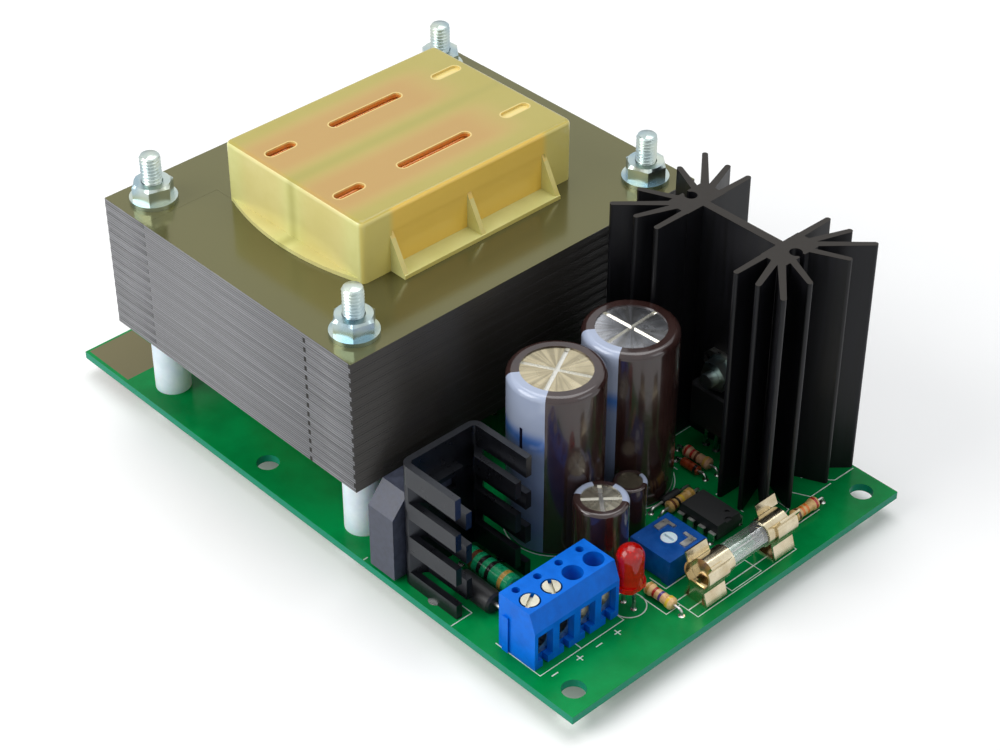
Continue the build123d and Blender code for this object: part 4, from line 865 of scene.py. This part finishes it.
# painted shade: the ends that face the parts are laid over nearly black, and mirror less
shaded_end_face = between(core_steel, facing_value(core_steel, "X"), 0.7, 2.0)
lay_over(core_steel, shaded_end_face, srgb(32, 27, 20), 0.95)
groove = between(core_steel, work("FRACT", sheets_up), 0.74, 1.1)
lay_over(core_steel, groove, srgb(30, 29, 28), 0.6)
top_sheet = between(core_steel, core_z, core_high.z - 0.06 * MM, core_high.z + MM)
lay_over(core_steel, top_sheet, srgb(112, 109, 72))
change_input(core_steel, "Roughness", top_sheet, 0.15)
change_input(core_steel, "Metallic", shaded_end_face, 0.1)
print("finish", core_steel.name, len(core_steel.node_tree.nodes), "nodes")

# %% Stack the core
first_sheet = (core_centre.x, core_centre.y, core_low.z + sheet_pitch / 2)
sheet_count = round((core_high.z - core_low.z) / sheet_pitch)
for node_name, sheet in (("core_e_laminations", e_sheet), ("core_i_laminations", i_sheet)):
    piece = run_tree(node_name + "_stack", stack, {
        "Sheet": sheet, "Count": sheet_count, "First": first_sheet, "Pitch": sheet_pitch,
        "Sheets turned together": 2.0, "Material": core_steel,
    })
    bpy.data.objects.remove(sheet)
    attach(piece, "base")
    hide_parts(node_name)
    print(piece.name, sheet_count, "sheets", len(piece.data.polygons), "faces")

# %% [markdown]
# ## Turns of wire
# The windings are hundreds of turns of enamelled copper round a square former. All of
# them could be made, but only the outer layer can be seen, through the slots of the cover.
# So the block that the CAD model has for each winding stays, and gets one layer of real
# turns on its outside: a rounded rectangle swept with a small circle, once for each turn
# along X.

# %% The winding tree
turns, given = new_tree("wire turns", {
    "Width": "Float", "Height": "Float", "Corner": "Float", "Wire radius": "Float",
    "First": "Vector", "Turns": "Int",
})
sides = {"Width": given["Width"], "Height": given["Height"]}
loop = add_node(turns, "GeometryNodeCurvePrimitiveQuadrilateral", sides).outputs[0]
rounded = add_node(
    turns, "GeometryNodeFilletCurve", mode="POLY",
    links={"Curve": loop, "Radius": given["Corner"], "Count": 5},
).outputs[0]
ring = add_node(turns, "GeometryNodeCurvePrimitiveCircle", {
    "Resolution": 8, "Radius": given["Wire radius"],
}).outputs[0]
wire = add_node(turns, "GeometryNodeCurveToMesh", {"Curve": rounded, "Profile Curve": ring})
upright = add_node(turns, "GeometryNodeTransform", {
    "Geometry": wire.outputs[0], "Rotation": (math.pi / 2, 0, math.pi / 2),
}).outputs[0]
turn_pitch = 2.04        # in wire radii, a hair more than the wire is thick
step = tree_math(turns, "MULTIPLY", given["Wire radius"], turn_pitch)
step = add_node(turns, "ShaderNodeCombineXYZ", {"X": step}).outputs[0]
row = add_node(turns, "GeometryNodeMeshLine", {
    "Count": given["Turns"], "Start Location": given["First"], "Offset": step,
}).outputs[0]
wound = add_node(turns, "GeometryNodeInstanceOnPoints", {"Points": row, "Instance": upright})
finish_tree(turns, wound.outputs[0], given)
print("tree", turns.name, len(turns.nodes), "nodes")

# %% Wind the coils
enamel = new_material(
    "copper enamel", srgb(226, 128, 36), srgb(248, 166, 66), (0.22, 0.34), 1.5 * MM, 0.003 * MM, 0.15
)
dress(settings(enamel, Coat_Weight=0.5, Coat_Roughness=0.1), "primary_winding", "secondary_winding")
bulge = 0.35 * MM
for node_name, wire_radius in (("primary_winding", 0.20 * MM), ("secondary_winding", 0.40 * MM)):
    low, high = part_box(node_name)
    count = int((high.x - low.x) / (turn_pitch * wire_radius))
    piece = run_tree(node_name + "_turns", turns, {
        "Width": high.y - low.y - wire_radius,
        "Height": high.z - low.z - wire_radius + 2 * bulge,
        "Corner": 2.4 * MM, "Wire radius": wire_radius, "Turns": count, "Material": enamel,
        "First": (low.x + wire_radius, 0.0, (low.z + high.z) / 2),
    })
    smooth(piece)
    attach(piece, "base")
    print(piece.name, count, "turns")

# %% [markdown]
# ## Bolt threads
# The bolts are M4 with a pitch of 0.7 mm, and the ends over the nuts show the thread. A
# bump would leave the outline straight, and the outline is what gives a thread away. So a
# flat grid is wrapped round the axis: one side of it becomes the height and the other the
# turn, and the radius dips by how far the height has run ahead of the turn, which makes
# the valley climb one pitch a turn. The same wrapping serves for the solder later.


# %% Wrapping a grid round an axis
def unit_grid(tree, rows, columns):
    """A flat grid, with each point's share of the way up it and round it."""
    grid = add_node(tree, "GeometryNodeMeshGrid", {"Vertices X": rows, "Vertices Y": columns})
    where = add_node(tree, "GeometryNodeInputPosition").outputs[0]
    spot = add_node(tree, "ShaderNodeSeparateXYZ", {0: where}).outputs
    shares = [tree_math(tree, "ADD", spot[axis], 0.5) for axis in "XY"]
    return grid.outputs[0], *shares


def wrap_round(tree, grid, share_up, share_round, radius, height, weld):
    """Wraps the grid round the Z axis, draws its first and last row in, and welds it."""
    work = partial(tree_math, tree)
    angle = work("MULTIPLY", share_round, math.tau)
    past_first = work("GREATER_THAN", share_up, 0.001)
    before_last = work("LESS_THAN", share_up, 0.999)
    reach = work("MULTIPLY", radius, work("MULTIPLY", past_first, before_last))
    moved = add_node(tree, "ShaderNodeCombineXYZ", {
        "X": work("MULTIPLY", reach, work("COSINE", angle)),
        "Y": work("MULTIPLY", reach, work("SINE", angle)),
        "Z": height,
    }).outputs[0]
    shaped = add_node(tree, "GeometryNodeSetPosition", {"Geometry": grid, "Position": moved})
    return add_node(tree, "GeometryNodeMergeByDistance", {
        "Geometry": shaped.outputs[0], "Distance": weld,
    }).outputs[0]


print("trees so far", [group.name for group in bpy.data.node_groups])

# %% The thread tree
thread, given = new_tree("threaded rod", {
    "Points": "Geometry", "Radius": "Float", "Depth": "Float", "Pitch": "Float",
    "Length": "Float", "Rows": "Int", "Bottom": "Float",
})
thread_columns = 37
grid, share_up, share_round = unit_grid(thread, given["Rows"], thread_columns)
work = partial(tree_math, thread)
height = work("MULTIPLY", share_up, given["Length"])
phase = work("FRACT", work("SUBTRACT", work("DIVIDE", height, given["Pitch"]), share_round))
valley = work("ABSOLUTE", work("SUBTRACT", work("MULTIPLY", phase, 2.0), 1.0))
crest = work("SUBTRACT", given["Radius"], work("MULTIPLY", valley, given["Depth"]))
end_radius = work("SUBTRACT", given["Radius"], given["Depth"])
chamfer = work("ADD", end_radius, work("SUBTRACT", given["Length"], height))
radius = work("MINIMUM", crest, chamfer)
level = work("ADD", height, given["Bottom"])
rod = wrap_round(thread, grid, share_up, share_round, radius, level, weld=1e-6)
rod_copies = add_node(thread, "GeometryNodeInstanceOnPoints", {
    "Points": given["Points"], "Instance": rod,
})
finish_tree(thread, rod_copies.outputs[0], given)
print("tree", thread.name, len(thread.nodes), "nodes")


# %% Threads
def points_mesh(name, places):
    """A mesh of loose points, for a tree to put copies on."""
    mesh = bpy.data.meshes.new(name)
    mesh.from_pydata(places, [], [])
    return mesh


bolt_low, bolt_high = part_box("transformer_bolts")
nut_low, nut_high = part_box("transformer_nuts")
bolt_radius = 2.0 * MM
bolt_places = [
    (core_centre.x + i * bolt_x, core_centre.y + j * bolt_y, 0.0) for i in (-1, 1) for j in (-1, 1)
]
rod_bottom = nut_low.z + 0.4 * MM
rods = run_tree("transformer_bolt_threads", thread, {
    "Radius": bolt_radius, "Depth": 0.43 * MM, "Pitch": 0.7 * MM, "Rows": 112,
    "Length": bolt_high.z - rod_bottom, "Bottom": rod_bottom, "Material": zinc,
}, points_mesh("bolt places", bolt_places))
smooth(rods, angle=75)
print(rods.name, "faces", len(rods.data.polygons))

# %% [markdown]
# ## Nuts, heads and shanks
# A nut or a bolt head is cut from hexagon bar, and its corners are then turned off to a
# cone, which leaves a curved edge on each flat. A bevel modifier can't make that curve.
# Here each ring of points goes as far out as the hexagon or the cone lets it, whichever
# is less, and the curve comes by itself.

# %% Rings of points
ring_count = 60
ring_angles = [math.tau * i / ring_count for i in range(ring_count)]


def axis_ring(mesh, place, level, reaches, turn):
    """A ring of points round an upright axis, each as far out as its own reach."""
    ring = []
    for angle, reach in zip(ring_angles, reaches):
        x, y = math.cos(angle + turn), math.sin(angle + turn)
        ring.append(mesh.verts.new((place[0] + reach * x, place[1] + reach * y, level)))
    return ring


def hexagon_reach(angle, flats, cone):
    """How far out a block goes: to its flat or to the cone, whichever is nearer."""
    from_flat = math.radians(math.degrees(angle) % 60.0 - 30.0)
    return min(flats / 2 / math.cos(from_flat), cone)


nut_flats = 7 * MM
print("a nut's corner is", round(hexagon_reach(0, nut_flats, 1.0) / MM, 2), "mm out")


# %% Hexagon blocks
bevel_high = 0.075       # the bevel's height, as a share of the width over the flats
cone_start = 0.97        # the cone's radius at the end face, as a share of half that width
cone_slope = 2.2         # how much the cone widens for each step away from the end face


def hex_block(mesh, place, flats, low, high, bevelled_top, bevelled_bottom, bore=0.0, turn=0.0):
    """Adds a hexagon block with turned corners, made of rings of points round its axis."""
    bevel = flats * bevel_high
    levels = [low, low + bevel] if bevelled_bottom else [low]
    levels += [high - bevel, high] if bevelled_top else [high]
    rings = []
    for level in levels:
        from_top = high - level if bevelled_top else flats
        from_bottom = level - low if bevelled_bottom else flats
        cone = flats / 2 * cone_start + min(from_top, from_bottom) * cone_slope
        reaches = [hexagon_reach(angle, flats, cone) for angle in ring_angles]
        rings.append(axis_ring(mesh, place, level, reaches, turn))
    if bore:
        bores = [bore] * ring_count
        rings += [axis_ring(mesh, place, level, bores, turn) for level in (high, low)]
        rings.append(rings[0])
    else:
        mesh.faces.new(rings[0])
        mesh.faces.new(rings[-1])
    for first, second in zip(rings, rings[1:]):
        for i in range(ring_count):
            j = (i + 1) % ring_count
            mesh.faces.new((first[i], first[j], second[j], second[i]))


print("a nut's bevel is", round(nut_flats * bevel_high / MM, 2), "mm high")


# %% Bevelled nuts
def keep_mesh(name, mesh, material, body, stands_for, crisp=25):
    """Makes a piece from a bmesh and places it on its body."""
    data = bpy.data.meshes.new(name)
    bmesh.ops.recalc_face_normals(mesh, faces=mesh.faces)
    mesh.to_mesh(data)
    mesh.free()
    data.materials.append(material)
    piece = add_object(name, data)
    smooth(piece, crisp)
    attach(piece, body)
    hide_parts(stands_for)
    print(name, "faces", len(data.polygons))


nut_mesh = bmesh.new()
for place, degrees in zip(bolt_places, (-46, -38, -43, -40)):
    turn = math.radians(degrees)
    hex_block(nut_mesh, place, nut_flats, nut_low.z, nut_high.z, True, False, 2.05 * MM, turn)
keep_mesh(
    "transformer_nuts_bevelled", nut_mesh, zinc, "base", "transformer_nuts", crisp=8
)

# %% Shanks and heads
shank_mesh = bmesh.new()
head_top = bolt_low.z + 2.8 * MM
shank_top = rod_bottom + 0.2 * MM
for place in bolt_places:
    hex_block(shank_mesh, place, nut_flats, bolt_low.z, head_top, False, True)
    shank = bmesh.ops.create_cone(
        shank_mesh, cap_ends=True, segments=40, radius1=bolt_radius, radius2=bolt_radius,
        depth=shank_top - head_top,
    )
    seat = (place[0], place[1], (shank_top + head_top) / 2)
    bmesh.ops.translate(shank_mesh, verts=shank["verts"], vec=seat)
keep_mesh("transformer_bolt_shanks", shank_mesh, zinc, "base", "transformer_bolts")
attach(rods, "base")

# %% [markdown]
# ## Print on the board
# White ink marks where each part goes. It lies a few hundredths of a millimetre high, so
# it could be a texture, but a line of 0.2 mm would need a very large one to stay crisp.
# Each outline, and each sign at the terminals, is therefore a path in board millimetres,
# and one tree sweeps a flat strip along it.

# %% Lines of the print
fuse_frame = [(61.4, -9.3), (66.7, -9.3), (66.7, 16.4), (61.4, 16.4), (61.4, -9.3)]
fuse_inner = [(62.3, -0.15), (66.25, -0.15), (66.25, 7.5), (62.3, 7.5), (62.3, -0.15)]
terminal_frame = [(47.5, -39.2), (58.4, -39.2), (58.4, -19.2), (47.5, -19.2)]
print_lines = [
    fuse_frame,
    fuse_inner,
    [(64.4, -9.3), (64.4, 16.4)],
    terminal_frame,
    [(56.9, -29.45), (58.4, -29.45)],
    [(57.95, -8.2), (54.0, -8.2)],
    [(57.95, -8.2), (57.95, -3.0)],
    [(56.6, 5.2), (56.6, 10.5)],
    [(44.4, 14.2), (44.7, 15.4)],
    [(56.3, -12.85), (62.5, -12.85), (62.5, -9.45)],
    [(62.4, 21.5), (62.4, 27.7)],
    [(39.2, -37.1), (39.2, -42.0)],
    [(39.2, -37.1), (35.4, -37.1)],
    [(15.95, -41.9), (15.95, -40.9)],
    [(29.65, 28.9), (29.65, 23.6)],
    [(34.7, 20.0), (40.7, 20.0)],
    [(59.0, 41.3), (58.9, 36.1), (54.1, 32.1)],
    [(59.0, 34.9), (59.0, 29.3), (52.9, 26.2)],
    [(58.8, 22.5), (58.6, 23.6), (51.2, 24.2)],
    [(53.4, 17.1), (52.2, 17.1), (49.8, 22.8)],
    [(47.6, 17.1), (46.6, 17.1), (47.0, 23.7)],
    [(36.9, 17.1), (35.8, 17.1)],
]
signs = []
sign_half = 0.75
for x, y, plus in (
    (59.9, -22.2, True), (59.9, -26.7, False), (59.9, -31.3, True), (59.8, -37.1, False),
):
    signs.append([(x, y - sign_half), (x, y + sign_half)])
    if plus:
        signs.append([(x - sign_half, y), (x + sign_half, y)])
circles = [(31.8, -10.1, 9.25), (32.0, 8.1, 9.25), (45.8, -12.6, 5.4), (56.35, -15.95, 3.2)]
rounds = []
for x, y, radius in circles:
    circle = [(x + dx, y + dy) for dx, dy in ring_points(radius, 64)]
    rounds.append(circle + circle[:1])
print("printed lines", len(print_lines), "signs", len(signs), "circles", len(rounds))

# %% The ribbon tree
ribbon, given = new_tree("ribbon lines", {
    "Lines": "Geometry", "Width": "Float", "Thickness": "Float",
})
path = add_node(ribbon, "GeometryNodeMeshToCurve", {"Mesh": given["Lines"]}).outputs[0]
level_path = add_node(ribbon, "GeometryNodeSetCurveNormal", {"Curve": path}, mode="Z_UP")
section = add_node(ribbon, "GeometryNodeCurvePrimitiveQuadrilateral", {
    "Width": given["Width"], "Height": given["Thickness"],
}).outputs[0]
swept = add_node(ribbon, "GeometryNodeCurveToMesh", {
    "Curve": level_path.outputs[0], "Profile Curve": section, "Fill Caps": True,
}).outputs[0]
finish_tree(ribbon, swept, given)
print("tree", ribbon.name, len(ribbon.nodes), "nodes")


# %% Print the board
def lines_mesh(name, lines, level, outwards):
    """A mesh of loose edges along each line, each line a hair further out than the last."""
    points, edges = [], []
    for number, line in enumerate(lines):
        line_level = level + outwards * number * 0.001 * MM
        for i, (x, y) in enumerate(line):
            if i:
                edges.append((len(points) - 1, len(points)))
            points.append((x * MM, y * MM, line_level))
    mesh = bpy.data.meshes.new(name)
    mesh.from_pydata(points, edges, [])
    return mesh


ribbon_thick, ribbon_up = 0.03 * MM, 0.012 * MM
print_white = new_material(
    "print white", srgb(196, 214, 204), srgb(222, 234, 228), (0.45, 0.6), 0.8 * MM, 0.004 * MM
)
print_piece = run_tree(
    "board_print", ribbon,
    {"Width": 0.22 * MM, "Thickness": ribbon_thick, "Material": print_white},
    lines_mesh("print lines", print_lines + signs + rounds, board_top + ribbon_up, 1),
)
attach(print_piece, "base")
print(print_piece.name, "faces", len(print_piece.data.polygons))

# %% [markdown]
# ## Tracks on the underside
# The copper tracks run under the mask on the lower face and show as a paler green. The
# photograph doesn't show them, so they are drawn as such a supply is wired: coil to
# bridge, bridge to capacitors, then through the transistor and the fuse to the terminals.
# Where tracks cross in the drawing, each lies a thousandth of a millimetre further out
# than the last, because faces at one level would flicker. The ribbon tree of the print
# draws them too, only wider.

# %% Tracks
power_tracks = [
    [(1.2, 11.4), (14.5, 11.4), (14.5, -23.6), (21.2, -23.6)],
    [(1.2, -11.4), (9.0, -11.4), (9.0, -33.8), (21.2, -33.8)],
    [(21.2, -28.6), (27.0, -28.6), (27.0, -13.8), (31.8, -13.8)],
    [(27.0, -13.8), (27.0, 4.3), (32.0, 4.3)],
    [(21.2, -38.9), (47.0, -38.9), (53.0, -36.6)],
    [(31.8, -6.4), (37.5, -6.4), (37.5, 11.8), (32.0, 11.8)],
    [(37.5, -6.4), (37.5, -26.8), (53.0, -26.5)],
    [(35.6, 26.5), (23.0, 26.5), (23.0, 4.3), (27.0, 4.3)],
    [(40.6, 26.5), (46.5, 33.5), (58.0, 33.5), (66.5, 25.0), (66.5, 13.6), (63.7, 13.6)],
    [(63.7, -4.2), (66.8, -8.0), (66.8, -21.6), (53.0, -21.6)],
    [(-41.0, 11.4), (-61.0, 11.4), (-61.0, 34.0)],
    [(-41.0, -11.4), (-61.0, -11.4), (-61.0, -30.4)],
]
signal_tracks = [
    [(38.1, 26.5), (38.1, 24.0), (43.0, 24.0), (43.0, 21.4)],
    [(47.5, 14.0), (44.2, 15.1)],
    [(50.0, 14.0), (50.0, 18.5), (61.4, 19.5)],
    [(52.6, 14.0), (57.5, 14.0), (57.5, 29.7), (61.4, 29.7)],
    [(55.1, 14.0), (55.1, 10.2), (47.5, 10.2), (42.1, 14.7)],
    [(47.5, 6.4), (44.2, 4.9)],
    [(50.0, 6.4), (50.5, -0.1)],
    [(52.6, 6.4), (55.6, 3.2), (55.6, -0.1)],
    [(53.1, -5.1), (54.3, -11.2)],
    [(64.5, -11.2), (57.6, -15.9)],
    [(55.1, -15.9), (50.0, -15.9), (45.8, -15.1)],
    [(45.8, -10.1), (41.9, -2.4)],
    [(41.9, 0.0), (42.1, 4.5)],
    [(32.8, 21.4), (34.8, 18.8)],
    [(42.4, 18.8), (43.0, 21.4)],
    [(43.9, -29.8), (47.0, -31.6), (53.0, -31.6)],
    [(28.6, -29.8), (31.2, -34.2)],
    [(43.9, -34.2), (47.0, -31.6)],
]
track_green = new_material(
    "mask over copper", srgb(16, 140, 76), srgb(34, 158, 92), (0.22, 0.32), 6.0 * MM, 0.003 * MM
)
settings(track_green, Specular_IOR_Level=0.2)
for piece_name, lines, width in (
    ("power_tracks", power_tracks, 2.4 * MM), ("signal_tracks", signal_tracks, 0.9 * MM),
):
    piece = run_tree(
        piece_name, ribbon, {"Width": width, "Thickness": ribbon_thick, "Material": track_green},
        lines_mesh(piece_name, lines, board_bottom - ribbon_up, -1),
    )
    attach(piece, "base")
    print(piece_name, len(lines), "tracks")

# %% [markdown]
# ## Solder
# Solder climbs each lead in a small hollow cone, on both sides of the board. Its places
# could be typed in, but one missed lead would look unsoldered. So the leads are found by
# measuring: every stretch of a node that reaches below the board is one leg, and its
# middle and width say where its solder goes and how wide it is.


# %% Find the leads
def legs_below(mesh, level):
    """The points of each leg of a mesh that lie below a level, one list for each leg."""
    seen_points = set()
    for first in mesh.verts:
        if first in seen_points or first.co.z > level:
            continue
        seen_points.add(first)
        leg, waiting = [], [first]
        while waiting:
            vertex = waiting.pop()
            leg.append(vertex.co.copy())
            for edge in vertex.link_edges:
                other = edge.other_vert(vertex)
                if other not in seen_points and other.co.z <= level:
                    seen_points.add(other)
                    waiting.append(other)
        yield leg


def lead_spots(node_name):
    """The centre and half width of every leg of a node that goes through the board."""
    mesh = bmesh.new()
    mesh.from_mesh(nodes[node_name].data)
    bmesh.ops.remove_doubles(mesh, verts=mesh.verts, dist=1e-6)
    found = []
    for leg in legs_below(mesh, board_bottom - 1.0 * MM):
        low_x, high_x = min(point.x for point in leg), max(point.x for point in leg)
        low_y, high_y = min(point.y for point in leg), max(point.y for point in leg)
        half = max(high_x - low_x, high_y - low_y) / 2
        found.append(((low_x + high_x) / 2, (low_y + high_y) / 2, half))
    mesh.free()
    return found


lead_nodes = [
    "bridge_rectifier_leads", "capacitor_leads", "coil_pins", "control_chip_pins",
    "indicator_leads", "power_transistor_leads", "tall_heatsink_pins", "terminal_clamps",
    "trimmer_pins", "lying_part_leads", "fuse_clips", "small_heatsink",
]
lead_places = [spot for name in lead_nodes for spot in lead_spots(name)]
print("leads found", len(lead_places))

# %% The fillet tree
fillet, given = new_tree("solder fillets", {
    "Points": "Geometry", "Height": "Float", "Waist": "Float",
})
fillet_rows, fillet_columns = 7, 17
grid, share_up, share_round = unit_grid(fillet, fillet_rows, fillet_columns)
work = partial(tree_math, fillet)
# the first and last rows are drawn in to a point, so the slope runs between the others
row_share = 1 / (fillet_rows - 1)
rise_share = ranged(fillet, share_up, row_share, 1 - row_share)
slope = work("POWER", work("SUBTRACT", 1.0, rise_share), 2.0)
skirt = work("MULTIPLY", slope, work("SUBTRACT", 1.0, given["Waist"]))
flare = work("ADD", given["Waist"], skirt)
one_fillet = wrap_round(fillet, grid, share_up, share_round, flare, rise_share, weld=1e-4)
spread = add_node(
    fillet, "GeometryNodeInputNamedAttribute", {"Name": "spread"}, data_type="FLOAT"
).outputs[0]
size = add_node(fillet, "ShaderNodeCombineXYZ", {"X": spread, "Y": spread, "Z": given["Height"]})
copies = add_node(fillet, "GeometryNodeInstanceOnPoints", {
    "Points": given["Points"], "Instance": one_fillet, "Scale": size.outputs[0],
}).outputs[0]
finish_tree(fillet, copies, given)
print("tree", fillet.name, len(fillet.nodes), "nodes")

# %% Solder the leads
solder = new_material(
    "solder", srgb(162, 162, 158), srgb(196, 196, 192), (0.20, 0.32), 1.0 * MM, 0.004 * MM, 1.0
)
for piece_name, level, tall, pad in (
    ("solder_joints_below", board_bottom - 0.01 * MM, -0.95 * MM, 0.75 * MM),
    ("solder_joints_above", board_top + 0.01 * MM, 0.16 * MM, 0.35 * MM),
):
    places = points_mesh(piece_name, [(x, y, level) for x, y, _ in lead_places])
    widths = places.attributes.new("spread", "FLOAT", "POINT")
    for item, (_, _, half) in zip(widths.data, lead_places):
        item.value = half + pad
    piece = run_tree(piece_name, fillet, {"Height": tall, "Waist": 0.35, "Material": solder}, places)
    smooth(piece, angle=60)
    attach(piece, "base")
    print(piece_name, "faces", len(piece.data.polygons))

# %% [markdown]
# ## Sizes
# The looks have to stay inside the box of the CAD model, or the object would grow by being
# dressed. The box of the CAD model is measured before the dressing and printed here.

# %% Sizes and finish
print("cad box", [[round(value / MM, 2) for value in corner] for corner in cad_box])
